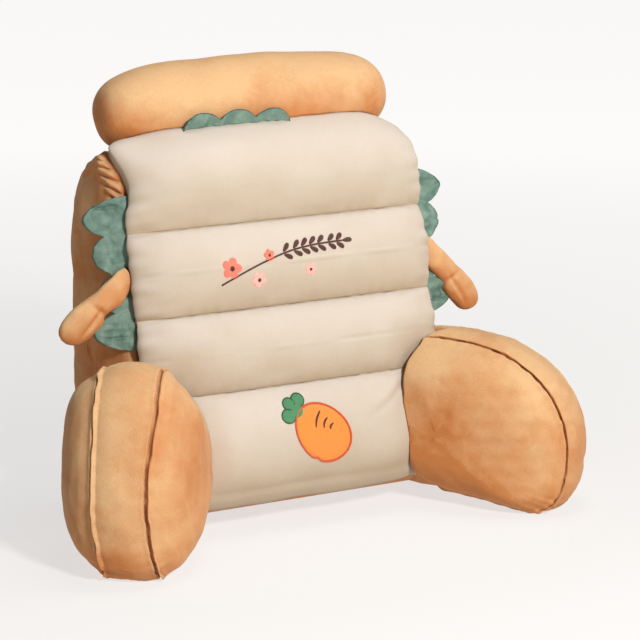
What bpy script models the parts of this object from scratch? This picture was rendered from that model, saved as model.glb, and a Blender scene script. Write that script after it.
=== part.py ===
"""Reading pillow with arms: a stuffed wedge with a channelled front, a head roll, two armrests,
scalloped leaf strips in its side and top seams, and two small stuffed hands.

Metres, +Z up. X is the pillow's width and the sitter faces -Y. The origin is on the floor, under the
middle of the wedge. Every filled piece is a loft: closed rings of equal length, worked out from the
named sizes and short tables below. Pieces that press on each other are cut to meet, GAP apart.
"""
import math

import bmesh
import bpy
import numpy as np

# ---- driving sizes ----------------------------------------------------------------------------
GAP = 0.0003  # clearance between pieces that touch

# Wedge backrest, seen from the side.
WEDGE_HEIGHT = 0.485
BASE_DEPTH = 0.224
TOP_DEPTH = 0.125
BACK_Y = BASE_DEPTH / 2
FRONT_Y = -BASE_DEPTH / 2
TOE_LIFT = 0.024  # the soft base rises this far off the floor at the front
BASE_FLAT_Y = -0.022  # behind this line the base lies flat
WEDGE_CORNERS = (
    # y, z, radius
    (FRONT_Y, TOE_LIFT, 0.020),
    (BACK_Y - TOP_DEPTH, WEDGE_HEIGHT, 0.050),
    (BACK_Y, WEDGE_HEIGHT - 0.008, 0.078),
    (BACK_Y, 0.0, 0.026),
    (BASE_FLAT_Y, 0.0, 0.060),
)
WEDGE_MIDDLE = (0.020, 0.210)  # y, z that the sides crown towards

# Wedge, seen from the front.
HALF_WIDTH = 0.216
SHOULDER_RADIUS = 0.020
GUSSET_CROWN = 0.024  # how far each side bulges
BACK_CROWN = 0.014  # how far the back bulges
GUSSET_SECTION = (
    # share of the side outline, share of the crown
    (0.985, 0.16),
    (0.94, 0.42),
    (0.84, 0.70),
    (0.66, 0.90),
    (0.40, 0.99),
    (0.14, 1.00),
)

# Channelled front pad: it covers the wedge's front and wraps back over its top.
PAD_FOOT_HEIGHT = 0.031
PAD_END_Y = 0.050
CHANNEL_SEAM_HEIGHTS = (0.178, 0.280, 0.391)
PAD_CREST = 0.052  # fullest thickness, in the middle of a channel
PAD_SEAM = 0.024  # thickness where a channel seam draws the pad in
PAD_EDGE = 0.004  # thickness where the pad's rim is sewn down
PAD_ROOT = 0.003  # how deep the pad reaches into the wedge, before the wedge is cut from it
CHANNEL_BULGE = 0.006  # how far a channel's ends stand out sideways past its seams
CHANNEL_SHARES = (0.0, 0.04, 0.14, 0.32, 0.5, 0.68, 0.86, 0.96)  # rings from one seam to the next
PAD_COLUMNS = 17

# Armrests: a D seen from the side, with a band between two crowned cheeks.
ARM_LENGTH = 0.214  # from the wedge's front corner to the band's front
ARM_REAR = 0.130  # how far the D runs back past that corner, before the wedge is cut from it
ARM_HEIGHT = 0.230
ARM_SPLAY = math.radians(34.5)
ARM_ROOT = (HALF_WIDTH + 0.005, FRONT_Y + 0.031)  # x, y of the splay's pivot
ARM_CORNERS = (
    # along the arm, z, radius
    (-ARM_REAR, 0.024, 0.020),
    (0.060, 0.0, 0.120),
    (ARM_LENGTH - 0.010, 0.0, 0.052),
    (ARM_LENGTH + 0.004, ARM_HEIGHT - 0.030, 0.130),
    (-ARM_REAR, ARM_HEIGHT, 0.030),
)
ARM_MIDDLE = (0.045, 0.104)  # along, z that the cheeks crown towards
ARM_TUCK = 0.014  # how far an armrest's foot is tucked in under it
BAND_WIDTH = 0.066
BAND_SECTION = (
    # share of half the band's width, how far the outline stands out
    (0.00, 0.0070),
    (0.55, 0.0055),
    (0.88, 0.0010),
    (1.00, 0.0050),
    (1.12, 0.0030),
)
CHEEK_CROWN = 0.055
CHEEK_SECTION = (
    # share of the outline, share of the crown
    (0.97, 0.14),
    (0.92, 0.34),
    (0.82, 0.57),
    (0.66, 0.77),
    (0.46, 0.91),
    (0.22, 0.985),
)

# Head roll, along X on top of the wedge.
ROLL_HALF_LENGTH = 0.212
ROLL_RADII = (0.062, 0.064)  # in y and z
ROLL_CENTRE = (0.050, 0.536)  # y, z
ROLL_SQUARENESS = 3.4

# Leaf strips: scalloped double cloth, sewn into a seam.
LEAF_THICKNESS = 0.0024
LEAF_SCALLOPS_SIDE = 4
LEAF_SIDE_HEIGHTS = (0.245, 0.440)  # where a side strip ends, as heights on the wedge's front
LEAF_SIDE_LENGTH = 0.043
LEAF_SIDE_LEAN = math.radians(30)  # how far the side strips lean back
LEAF_OVERLAP = 0.58  # half a scallop's width, as a share of the scallops' spacing
LEAF_SCALLOPS_TOP = 3
LEAF_TOP_SPAN = (-0.122, 0.044)  # x of the top strip's ends
LEAF_TOP_LENGTH = 0.033

# Hands: stuffed limbs that hang from the side seams.
HAND_ROOT_HEIGHT = 0.340
HAND_LIFT = 0.007  # how far a hand's root stands off the leaf strip behind it
HAND_INSET = 0.003  # how far a hand reaches into the pad, before the pad is cut from it
HAND_REACH = {
    # tip from root: out, back, up
    "hand_left": (0.104, 0.012, -0.078),
    "hand_right": (0.097, 0.010, -0.100),
}
HAND_SECTIONS = (
    # share of the length, half height, half thickness
    (0.00, 0.0130, 0.0045),
    (0.14, 0.0155, 0.0058),
    (0.36, 0.0175, 0.0092),
    (0.56, 0.0180, 0.0110),
    (0.66, 0.0190, 0.0120),
    (0.78, 0.0240, 0.0140),
    (0.90, 0.0215, 0.0125),
    (0.97, 0.0125, 0.0080),
)


# ---- shape helpers ----------------------------------------------------------------------------
def rounded_outline(corners, spacing):
    """Closed outline through (a, b, radius) corners, counterclockwise, with its corners as arcs."""
    points = []
    count = len(corners)
    for i in range(count):
        before, here, after = (np.array(corners[(i + k) % count][:2]) for k in (-1, 0, 1))
        radius = corners[i][2]
        to_before = (before - here) / np.linalg.norm(before - here)
        to_after = (after - here) / np.linalg.norm(after - here)
        half_angle = math.acos(np.clip(to_before @ to_after, -1, 1)) / 2
        bisector = (to_before + to_after) / np.linalg.norm(to_before + to_after)
        centre = here + bisector * radius / math.sin(half_angle)
        start = here + to_before * radius / math.tan(half_angle)
        end = here + to_after * radius / math.tan(half_angle)
        angle_0 = math.atan2(*(start - centre)[::-1])
        turn = math.atan2(*(end - centre)[::-1]) - angle_0
        turn = (turn + math.pi) % (2 * math.pi) - math.pi
        steps = max(3, round(abs(turn) * radius / spacing))
        for k in range(steps + 1):
            angle = angle_0 + turn * k / steps
            points.append(centre + radius * np.array((math.cos(angle), math.sin(angle))))
    return resampled(np.array(points), spacing)


def resampled(points, spacing):
    """The closed outline again, with points about evenly spaced along it."""
    closed = np.vstack([points, points[:1]])
    lengths = np.r_[0, np.cumsum(np.linalg.norm(np.diff(closed, axis=0), axis=1))]
    count = round(lengths[-1] / spacing)
    at = np.linspace(0, lengths[-1], count, endpoint=False)
    return np.stack([np.interp(at, lengths, closed[:, k]) for k in range(2)], axis=1)


def outline_normals(points):
    """Unit normals that point out of a counterclockwise closed outline."""
    along = np.roll(points, -1, axis=0) - np.roll(points, 1, axis=0)
    normals = np.stack([along[:, 1], -along[:, 0]], axis=1)
    return normals / np.linalg.norm(normals, axis=1, keepdims=True)


def material(name, colour, roughness):
    made = bpy.data.materials.new(name)
    made.use_nodes = True
    shader = made.node_tree.nodes["Principled BSDF"]
    shader.inputs["Base Color"].default_value = (*colour, 1.0)
    shader.inputs["Roughness"].default_value = roughness
    shader.inputs["Metallic"].default_value = 0.0
    return made


def loft(name, rings, finish, start_tip=None, end_tip=None):
    """One closed object through rings of equal length: an end closes as a fan to its tip, or as one face."""
    rings = np.asarray(rings, float)
    around = rings.shape[1]
    mesh = bmesh.new()
    rows = [[mesh.verts.new(p) for p in ring] for ring in rings]
    for low, high in zip(rows, rows[1:]):
        for i in range(around):
            j = (i + 1) % around
            mesh.faces.new((low[i], low[j], high[j], high[i]))
    for row, tip, order in ((rows[0], start_tip, -1), (rows[-1], end_tip, 1)):
        if tip is None:
            mesh.faces.new(row[::order])
            continue
        point = mesh.verts.new(tip)
        for i in range(around):
            j = (i + 1) % around
            mesh.faces.new((row[i], row[j], point)[::order])
    bmesh.ops.recalc_face_normals(mesh, faces=mesh.faces)
    bmesh.ops.triangulate(mesh, faces=mesh.faces)
    data = bpy.data.meshes.new(name)
    mesh.to_mesh(data)
    mesh.free()
    data.shade_smooth()
    data.materials.append(finish)
    made = bpy.data.objects.new(name, data)
    bpy.context.scene.collection.objects.link(made)
    return made


def sheet(name, points, finish):
    """One closed sheet, LEAF_THICKNESS thick, from a grid of points on its back face."""
    points = np.asarray(points, float)
    along = np.gradient(points, axis=0)
    across = np.gradient(points, axis=1)
    normals = np.cross(along, across)
    normals /= np.linalg.norm(normals, axis=2, keepdims=True)
    front = points + normals * LEAF_THICKNESS
    rings = [np.vstack([low, high[::-1]]) for low, high in zip(points, front)]
    return loft(name, rings, finish)


def cutter(piece):
    """Turns a piece into a hidden tool, GAP larger all round, that makes room for it in its neighbours."""
    normals = [vertex.normal.copy() for vertex in piece.data.vertices]
    for vertex, normal in zip(piece.data.vertices, normals):
        vertex.co += normal * GAP
    piece.hide_render = True
    piece.display_type = "WIRE"
    return piece


def cut(piece, *cutters):
    for tool in cutters:
        boolean = piece.modifiers.new("fit " + tool.name, "BOOLEAN")
        boolean.operation = "DIFFERENCE"
        boolean.solver = "EXACT"
        boolean.object = tool


# ---- wedge ------------------------------------------------------------------------------------
def half_width(z):
    """Half the wedge's width at a height: straight sides with rounded shoulders."""
    rise = np.clip((z - (WEDGE_HEIGHT - SHOULDER_RADIUS)) / SHOULDER_RADIUS, 0, 0.98)
    return HALF_WIDTH - SHOULDER_RADIUS * (1 - np.sqrt(1 - rise**2))


def wedge_outline(spacing):
    # The corners run up the front, which is clockwise in (y, z), so they are taken in reverse.
    return rounded_outline(WEDGE_CORNERS[::-1], spacing)


def back_body(name, finish):
    outline = wedge_outline(0.022)
    stations = [(-1, share, crown) for share, crown in GUSSET_SECTION[::-1]]
    stations += [(x, 1.0, 0.0) for x in (-1, -0.6, -0.2, 0.2, 0.6, 1)]
    stations += [(1, share, crown) for share, crown in GUSSET_SECTION]
    rings = []
    for side, share, crown in stations:
        y, z = (WEDGE_MIDDLE + (outline - WEDGE_MIDDLE) * share).T
        x = side * half_width(z) + np.sign(side) * crown * GUSSET_CROWN
        on_back = np.clip((outline[:, 0] - (BACK_Y - 0.004)) / 0.004, 0, 1)
        swell = on_back * np.sin(np.pi * np.clip(outline[:, 1] / WEDGE_HEIGHT, 0, 1))
        y = y + BACK_CROWN * swell * (1 - 0.75 * side**2) * share
        rings.append(np.stack([x, y, z], axis=1))
    tips = [(side * (HALF_WIDTH + GUSSET_CROWN), *WEDGE_MIDDLE) for side in (-1, 1)]
    return loft(name, rings, finish, *tips)


# ---- channelled front pad ---------------------------------------------------------------------
def pad_path():
    """Points and outward normals of the wedge's front and top that the pad covers, from its foot up."""
    outline = wedge_outline(0.0015)
    normals = outline_normals(outline)
    foot = np.argmin(np.hypot(outline[:, 0] - FRONT_Y, outline[:, 1] - PAD_FOOT_HEIGHT))
    outline, normals = (np.roll(a, -foot, axis=0)[::-1] for a in (outline, normals))
    last = np.argmax(outline[:, 0] > PAD_END_Y)
    return outline[:last], normals[:last]


def along_path(path):
    """Distance along a path at each of its points."""
    return np.r_[0, np.cumsum(np.linalg.norm(np.diff(path, axis=0), axis=1))]


def front_pad(name, finish, least_full=0.0):
    """The pad, or a plainer one whose seams are filled up to least_full of a channel's crest."""
    path, normals = pad_path()
    lengths = along_path(path)
    seams = [0.0] + [lengths[np.argmax(path[:, 1] > z)] for z in CHANNEL_SEAM_HEIGHTS] + [lengths[-1]]
    last = len(CHANNEL_SEAM_HEIGHTS)
    u = np.sin(np.linspace(-1, 1, PAD_COLUMNS) * math.pi / 2)
    edge = (1 - np.abs(u) ** 3.6) ** 0.7
    rings = []
    for channel, share in [(k, s) for k in range(last + 1) for s in CHANNEL_SHARES] + [(last, 1.0)]:
        at = seams[channel] + (seams[channel + 1] - seams[channel]) * share
        y, z = (np.interp(at, lengths, path[:, i]) for i in (0, 1))
        normal_y, normal_z = (np.interp(at, lengths, normals[:, i]) for i in (0, 1))
        low = PAD_SEAM
        if channel == 0:
            low = PAD_EDGE + (PAD_SEAM - PAD_EDGE) * min(1, share * 2)
        if channel == last:
            low = PAD_EDGE + (PAD_SEAM - PAD_EDGE) * min(1, (1 - share) * 2)
        full = (1 - (2 * share - 1) ** 2) ** 0.45
        if 0 < channel + share - 0.5 < last:
            full = max(full, least_full)
        crest = low + (PAD_CREST - low) * full
        thick = PAD_EDGE + (crest - PAD_EDGE) * edge
        x = u * (half_width(z) + CHANNEL_BULGE * full)
        front = np.stack([x, y + normal_y * thick, z + normal_z * thick], axis=1)
        root = np.zeros_like(x) - PAD_ROOT
        back = np.stack([x, y + normal_y * root, z + normal_z * root], axis=1)
        rings.append(np.vstack([front, back[::-1]]))
    return loft(name, rings, finish)


# ---- armrests ---------------------------------------------------------------------------------
def arm_to_world(along, across, z, side):
    """Armrest coordinates to the pillow's: along it from its pivot, and across it outwards."""
    across = across - ARM_TUCK * np.clip(1 - z / ARM_MIDDLE[1], 0, 1) ** 1.5
    x = ARM_ROOT[0] + along * math.sin(ARM_SPLAY) + across * math.cos(ARM_SPLAY)
    y = ARM_ROOT[1] - along * math.cos(ARM_SPLAY) + across * math.sin(ARM_SPLAY)
    return np.stack([side * x, y, z], axis=-1)


def armrest(name, side, finish):
    outline = rounded_outline(ARM_CORNERS, 0.018)
    normals = outline_normals(outline)
    half_band = BAND_WIDTH / 2
    cheek_root = BAND_SECTION[-1][0] * half_band
    half = [(share * half_band, outset, 1.0) for share, outset in BAND_SECTION]
    half += [(cheek_root + crown * CHEEK_CROWN, 0.0, share) for share, crown in CHEEK_SECTION]
    stations = [(-across, outset, share) for across, outset, share in half[:0:-1]] + half
    rings = []
    for across, outset, share in stations:
        along, z = (ARM_MIDDLE + (outline - ARM_MIDDLE) * share + normals * outset).T
        rings.append(arm_to_world(along, across, np.maximum(z, 0.0), side))
    reach = cheek_root + CHEEK_CROWN
    tips = [arm_to_world(ARM_MIDDLE[0], across, ARM_MIDDLE[1], side) for across in (-reach, reach)]
    return loft(name, rings, finish, *tips)


# ---- head roll --------------------------------------------------------------------------------
def head_roll(finish):
    turns = np.linspace(0, 2 * math.pi, 28, endpoint=False)
    shares = np.sin(np.linspace(-1, 1, 21) * math.pi / 2)[1:-1]
    rings = []
    for share in shares:
        radius = (1 - abs(share) ** ROLL_SQUARENESS) ** (1 / ROLL_SQUARENESS)
        x = np.full_like(turns, share * ROLL_HALF_LENGTH)
        y = ROLL_CENTRE[0] + radius * ROLL_RADII[0] * np.cos(turns)
        z = ROLL_CENTRE[1] + radius * ROLL_RADII[1] * np.sin(turns)
        rings.append(np.stack([x, y, z], axis=1))
    tips = [(side * ROLL_HALF_LENGTH, *ROLL_CENTRE) for side in (-1, 1)]
    return loft("head_roll", rings, finish, *tips)


# ---- leaf strips ------------------------------------------------------------------------------
def scallop(share, count):
    """How long a strip of round scallops is at a share of its span, with 1 at each crest."""
    position = share * count
    from_crest = position - 0.5 - min(int(position), count - 1)
    outer = position < 0.5 or position > count - 0.5
    return max(0.1, math.sqrt(max(0.0, 1 - (from_crest / (0.5 if outer else LEAF_OVERLAP)) ** 2)))


def leaf_strip_side(name, side, finish):
    path, normals = pad_path()
    lengths = along_path(path)
    low, high = (lengths[np.argmax(path[:, 1] > z)] for z in LEAF_SIDE_HEIGHTS)
    rows = []
    for share in np.linspace(0, 1, 41):
        at = low + (high - low) * share
        y, z = (np.interp(at, lengths, path[:, i]) for i in (0, 1))
        normal_y, normal_z = (np.interp(at, lengths, normals[:, i]) for i in (0, 1))
        tip = LEAF_SIDE_LENGTH * scallop(share, LEAF_SCALLOPS_SIDE)
        out = CHANNEL_BULGE + np.array((-0.5, 0.0, 0.35, 0.7, 1.0)) * (0.010, 0.010, tip, tip, tip)
        lean = np.maximum(out - CHANNEL_BULGE, 0) * math.tan(LEAF_SIDE_LEAN)
        offset = 2 * GAP - lean
        x = side * (half_width(z) + out)
        row = np.stack([x, y + normal_y * offset, z + normal_z * offset], axis=1)
        rows.append(row if side < 0 else row[::-1])
    return sheet(name, rows, finish)


def leaf_strip_top(finish):
    span = LEAF_TOP_SPAN[1] - LEAF_TOP_SPAN[0]
    radii = np.array(ROLL_RADII) + 4 * GAP
    start = math.radians(205)  # where the strip leaves the pad, round the roll from +Y towards +Z
    rows = []
    for share in np.linspace(0, 1, 31):
        tip = LEAF_TOP_LENGTH * scallop(share, LEAF_SCALLOPS_TOP)
        turns = start - np.linspace(-0.3, 1.0, 6) * tip / ROLL_RADII[1]
        x = np.full_like(turns, LEAF_TOP_SPAN[0] + span * share)
        y = ROLL_CENTRE[0] + radii[0] * np.cos(turns)
        z = ROLL_CENTRE[1] + radii[1] * np.sin(turns)
        rows.append(np.stack([x, y, z], axis=1))
    return sheet("leaf_strip_top", rows, finish)


# ---- hands ------------------------------------------------------------------------------------
def hand(name, side, finish):
    path, normals = pad_path()
    at = np.argmax(path[:, 1] > HAND_ROOT_HEIGHT)
    offset = LEAF_THICKNESS + HAND_SECTIONS[0][2] + HAND_LIFT
    root = np.array((HALF_WIDTH - HAND_INSET, *(path[at] + normals[at] * offset)))
    reach = np.array(HAND_REACH[name])
    ahead = reach / np.linalg.norm(reach)
    facing = np.array((0.0, *normals[at]))
    thick = facing - ahead * (facing @ ahead)
    thick /= np.linalg.norm(thick)
    high = np.cross(thick, ahead)
    turns = np.linspace(0, 2 * math.pi, 16, endpoint=False)
    rings = []
    for share, half_height, half_thickness in HAND_SECTIONS:
        centre = root + reach * share
        up_down = np.outer(np.cos(turns), high) * half_height
        front_back = np.outer(np.sin(turns), thick) * half_thickness
        rings.append((centre + up_down + front_back) * (side, 1, 1))
    return loft(name, rings, finish, None, (root + reach) * (side, 1, 1))


def main():
    for old in list(bpy.data.objects):
        bpy.data.objects.remove(old)
    tan = material("tan_plush", (0.72, 0.42, 0.20), 0.9)
    cream = material("cream_plush", (0.86, 0.78, 0.66), 0.9)
    leaf = material("leaf_cloth", (0.20, 0.36, 0.28), 0.85)

    back_body("back_body", tan)
    body_cutter = cutter(back_body("back_body_cutter", tan))
    pad_cutter = cutter(front_pad("front_pad_cutter", cream))
    arm_room_cutter = cutter(front_pad("arm_room_cutter", cream, least_full=0.9))
    cut(front_pad("front_pad", cream), body_cutter)
    cut(head_roll(tan), body_cutter, pad_cutter)
    cut(leaf_strip_top(leaf), pad_cutter)
    for side, suffix in ((-1, "left"), (1, "right")):
        cut(armrest("armrest_" + suffix, side, tan), body_cutter, arm_room_cutter)
        cut(leaf_strip_side("leaf_strip_" + suffix, side, leaf), pad_cutter)
        cut(hand("hand_" + suffix, side, tan), pad_cutter)


main()
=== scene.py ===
"""Looks of the reading pillow with arms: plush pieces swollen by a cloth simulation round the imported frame.

Metres, +Z up, in the frame's own place: the sitter faces -Y. Each stuffed piece is a loft of rings, as its
solid is, but finer. It swells between its seams, takes its folds and seam lips, and is pressed clear of the
pieces that it rests against. The leaf strips are sheets, and the embroidery lies on the channelled pad.
"""

import math

import bmesh
import bpy
import numpy as np
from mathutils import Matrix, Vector
from mathutils.bvhtree import BVHTree


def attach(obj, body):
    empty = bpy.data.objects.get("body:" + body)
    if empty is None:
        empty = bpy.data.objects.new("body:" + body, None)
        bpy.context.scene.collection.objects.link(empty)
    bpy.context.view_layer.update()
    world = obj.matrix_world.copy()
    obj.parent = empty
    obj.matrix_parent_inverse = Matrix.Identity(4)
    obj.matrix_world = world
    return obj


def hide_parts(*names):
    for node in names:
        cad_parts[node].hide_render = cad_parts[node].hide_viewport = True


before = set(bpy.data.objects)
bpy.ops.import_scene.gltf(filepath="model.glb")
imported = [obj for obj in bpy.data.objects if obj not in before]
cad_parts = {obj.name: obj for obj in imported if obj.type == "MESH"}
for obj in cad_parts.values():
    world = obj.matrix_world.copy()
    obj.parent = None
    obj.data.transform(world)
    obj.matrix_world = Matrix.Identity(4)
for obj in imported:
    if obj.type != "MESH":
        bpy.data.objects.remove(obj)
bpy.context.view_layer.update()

# ---- sizes that the solids are built from -----------------------------------------------------
WEDGE_HEIGHT = 0.485
BASE_DEPTH = 0.224
TOP_DEPTH = 0.125
BACK_Y = BASE_DEPTH / 2
FRONT_Y = -BASE_DEPTH / 2
TOE_LIFT = 0.024
BASE_FLAT_Y = -0.022
WEDGE_CORNERS = (
    # y, z, radius
    (FRONT_Y, TOE_LIFT, 0.020),
    (BACK_Y - TOP_DEPTH, WEDGE_HEIGHT, 0.050),
    (BACK_Y, WEDGE_HEIGHT - 0.008, 0.078),
    (BACK_Y, 0.0, 0.026),
    (BASE_FLAT_Y, 0.0, 0.060),
)
FRONT_SLOPE = (BACK_Y - TOP_DEPTH - FRONT_Y) / (WEDGE_HEIGHT - TOE_LIFT)
WEDGE_MIDDLE = np.array((0.020, 0.210))  # y, z that the sides crown towards
HALF_WIDTH = 0.216
SHOULDER_RADIUS = 0.020
GUSSET_CROWN = 0.024
BACK_CROWN = 0.014
GUSSET_SECTION = (
    # share of the side outline, share of the crown
    (1.0, 0.0),
    (0.985, 0.16),
    (0.94, 0.42),
    (0.84, 0.70),
    (0.66, 0.90),
    (0.40, 0.99),
    (0.14, 1.00),
)
PAD_FOOT_HEIGHT = 0.021
PAD_END_Y = 0.050
CHANNEL_SEAM_HEIGHTS = (0.178, 0.280, 0.391)
PAD_CREST = 0.052
PAD_SEAM = 0.024
PAD_EDGE = 0.004
PAD_SQUARENESS = 5.0
SEAM_FILL = 0.26  # how full the pad still is at its channel seams
CHANNEL_BULGE = 0.006
ARM_LENGTH = 0.214
ARM_REAR = 0.130
ARM_HEIGHT = 0.230
ARM_SPLAY = math.radians(34.5)
ARM_ROOT = (HALF_WIDTH + 0.005, FRONT_Y + 0.031)  # x, y of the splay's pivot
ARM_CORNERS = (
    # along the arm, z, radius
    (-ARM_REAR, 0.024, 0.020),
    (0.060, 0.0, 0.120),
    (ARM_LENGTH - 0.010, 0.0, 0.052),
    (ARM_LENGTH + 0.004, ARM_HEIGHT - 0.030, 0.130),
    (-ARM_REAR, ARM_HEIGHT, 0.030),
)
ARM_MIDDLE = np.array((0.045, 0.104))  # along, z that the cheeks crown towards
ARM_TUCK = 0.014
HALF_BAND = 0.033
BAND_OUTSET = (0.0095, 0.0022)  # how far the band stands out at its middle and at its seams
CHEEK_CROWN = 0.055
CHEEK_ROOT = 1.12 * HALF_BAND
CHEEK_SECTION = (
    # share of the outline, share of the crown
    (0.97, 0.14),
    (0.92, 0.34),
    (0.82, 0.57),
    (0.66, 0.77),
    (0.46, 0.91),
    (0.22, 0.985),
    (0.06, 1.0),
)
ROLL_HALF_LENGTH = 0.212
ROLL_RADII = (0.062, 0.064)  # in y and z
ROLL_CENTRE = (0.050, 0.536)  # y, z
ROLL_SQUARENESS = 3.4
LEAF_THICKNESS = 0.0022
LEAF_SCALLOPS_SIDE = (0.97, 0.80, 0.84, 1.0)  # share of the length at each crest, from the lowest up
LEAF_SIDE_HEIGHTS = (0.245, 0.440)
LEAF_SIDE_LENGTH = 0.052
LEAF_SIDE_LEAN = {-1: math.radians(30), 1: math.radians(14)}
LEAF_OVERLAP = 0.58
LEAF_SCALLOPS_TOP = (0.95, 1.0, 0.92)
LEAF_TOP_SPAN = (-0.124, 0.034)
LEAF_TOP_LENGTH = 0.0225
HAND_ROOT_HEIGHT = 0.340
HAND_LIFT = 0.0139  # how far a hand's middle stands off the pad's seam
HAND_INSET = 0.003
HAND_REACH = {
    # tip from root: out, back, up
    "left": (0.104, 0.012, -0.078),
    "right": (0.097, 0.010, -0.100),
}
HAND_SECTIONS = (
    # share of the length, reach above and below the middle, half thickness
    (0.00, 0.0125, 0.0125, 0.0045),
    (0.12, 0.0165, 0.0145, 0.0062),
    (0.30, 0.0185, 0.0150, 0.0098),
    (0.47, 0.0185, 0.0130, 0.0112),
    (0.53, 0.0188, 0.0135, 0.0114),
    (0.57, 0.0195, 0.0182, 0.0122),
    (0.64, 0.0205, 0.0212, 0.0136),
    (0.76, 0.0205, 0.0212, 0.0140),
    (0.88, 0.0175, 0.0190, 0.0128),
    (0.95, 0.0122, 0.0140, 0.0095),
    (0.985, 0.0062, 0.0080, 0.0055),
)

# ---- sizes of the finish ----------------------------------------------------------------------
CELL = 0.0055  # spacing of a stuffed piece's points before its one subdivision
CLEAR = 0.0007  # how far pressed pieces stay apart
SEAM_STEPS = (0.0009, 0.0019, 0.0030, 0.0046, 0.0070)  # closer points on each side of a seam
LIP_HEIGHT = 0.0038
LIP_WIDTH = 0.0023
GAP_DEPTH = 0.0034
SWELL_FRAMES = 20


# ---- shape helpers ----------------------------------------------------------------------------
def rounded_outline(corners, spacing):
    """Closed outline through (a, b, radius) corners, counterclockwise, with its corners as arcs."""
    points = []
    count = len(corners)
    for i in range(count):
        before, here, after = (np.array(corners[(i + k) % count][:2]) for k in (-1, 0, 1))
        radius = corners[i][2]
        to_before = (before - here) / np.linalg.norm(before - here)
        to_after = (after - here) / np.linalg.norm(after - here)
        half_angle = math.acos(np.clip(to_before @ to_after, -1, 1)) / 2
        bisector = (to_before + to_after) / np.linalg.norm(to_before + to_after)
        centre = here + bisector * radius / math.sin(half_angle)
        start = here + to_before * radius / math.tan(half_angle)
        end = here + to_after * radius / math.tan(half_angle)
        angle_0 = math.atan2(*(start - centre)[::-1])
        turn = math.atan2(*(end - centre)[::-1]) - angle_0
        turn = (turn + math.pi) % (2 * math.pi) - math.pi
        steps = max(3, round(abs(turn) * radius / spacing))
        for k in range(steps + 1):
            angle = angle_0 + turn * k / steps
            points.append(centre + radius * np.array((math.cos(angle), math.sin(angle))))
    return resampled(np.array(points), spacing)


def distances(points):
    """Distance along a line of points at each of them."""
    return np.r_[0, np.cumsum(np.linalg.norm(np.diff(points, axis=0), axis=1))]


def resampled(points, spacing, crowding=None):
    """The closed outline again, evenly spaced, or closer by the factor that crowding gives for its points."""
    closed = np.vstack([points, points[:1]])
    lengths = distances(closed)
    dense = np.linspace(0, lengths[-1], 4000)
    line = np.stack([np.interp(dense, lengths, closed[:, k]) for k in range(2)], axis=1)
    weight = np.ones(4000) if crowding is None else crowding(line)
    amount = np.r_[0, np.cumsum((weight[1:] + weight[:-1]) / 2 * np.diff(dense))]
    shares = np.linspace(0, amount[-1], round(amount[-1] / spacing), endpoint=False)
    at = np.interp(shares, amount, dense)
    return np.stack([np.interp(at, dense, line[:, k]) for k in range(2)], axis=1)


def outline_normals(points):
    """Unit normals that point out of a counterclockwise closed outline."""
    along = np.roll(points, -1, axis=0) - np.roll(points, 1, axis=0)
    normals = np.stack([along[:, 1], -along[:, 0]], axis=1)
    return normals / np.linalg.norm(normals, axis=1, keepdims=True)


def smooth_line(table, steps=24):
    """Points of a smooth curve through a table's rows, with the rows' own columns."""
    rows = np.array(table, float)
    rows = np.vstack([2 * rows[0] - rows[1], rows, 2 * rows[-1] - rows[-2]])
    points = []
    for i in range(1, len(rows) - 2):
        a, b, c, d = rows[i - 1 : i + 3]
        for t in np.arange(steps) / steps:
            points.append(
                b + (c - a) * t / 2 + (a - 2.5 * b + 2 * c - d / 2) * t**2 + (1.5 * (b - c) + (d - a) / 2) * t**3
            )
    return np.array(points + [rows[-2]])


def at_spacing(line, spacing, columns=None):
    """The rows of a dense line that lie about a spacing apart, measured in the given columns."""
    lengths = distances(line if columns is None else line[:, columns])
    count = max(2, round(lengths[-1] / spacing) + 1)
    at = np.linspace(0, lengths[-1], count)
    return np.stack([np.interp(at, lengths, line[:, k]) for k in range(line.shape[1])], axis=1)


def bump(x):
    """A smooth hill: 1 at 0, and 0 from 1 outwards."""
    return np.clip(1 - np.asarray(x, float) ** 2, 0, 1) ** 2


def ramp(x, low, high):
    """Smoothly 0 at low and 1 at high."""
    t = np.clip((np.asarray(x, float) - low) / (high - low), 0, 1)
    return t * t * (3 - 2 * t)


def ripple(points, wavelength, seed):
    """A smooth random field over points, mostly from -1 to 1, made of plane waves near one wavelength."""
    points = np.asarray(points, float)
    random = np.random.default_rng(seed)
    count = 16
    ways = random.normal(size=(count, points.shape[-1]))
    ways /= np.linalg.norm(ways, axis=1, keepdims=True)
    waves = ways * 2 * math.pi / (wavelength * random.uniform(0.7, 1.5, (count, 1)))
    phases = random.uniform(0, 2 * math.pi, count)
    return np.cos(points @ waves.T + phases).sum(axis=-1) / math.sqrt(count * 1.3)


def ring_normals(rings):
    """Outward unit normals at a loft's points."""
    along = np.gradient(rings, axis=0)
    around = np.roll(rings, -1, axis=1) - np.roll(rings, 1, axis=1)
    normals = np.cross(around, along)
    normals /= np.maximum(np.linalg.norm(normals, axis=2, keepdims=True), 1e-9)
    outward = ((rings - rings.mean(axis=(0, 1))) * normals).sum()
    return normals * (1 if outward > 0 else -1)


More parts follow.
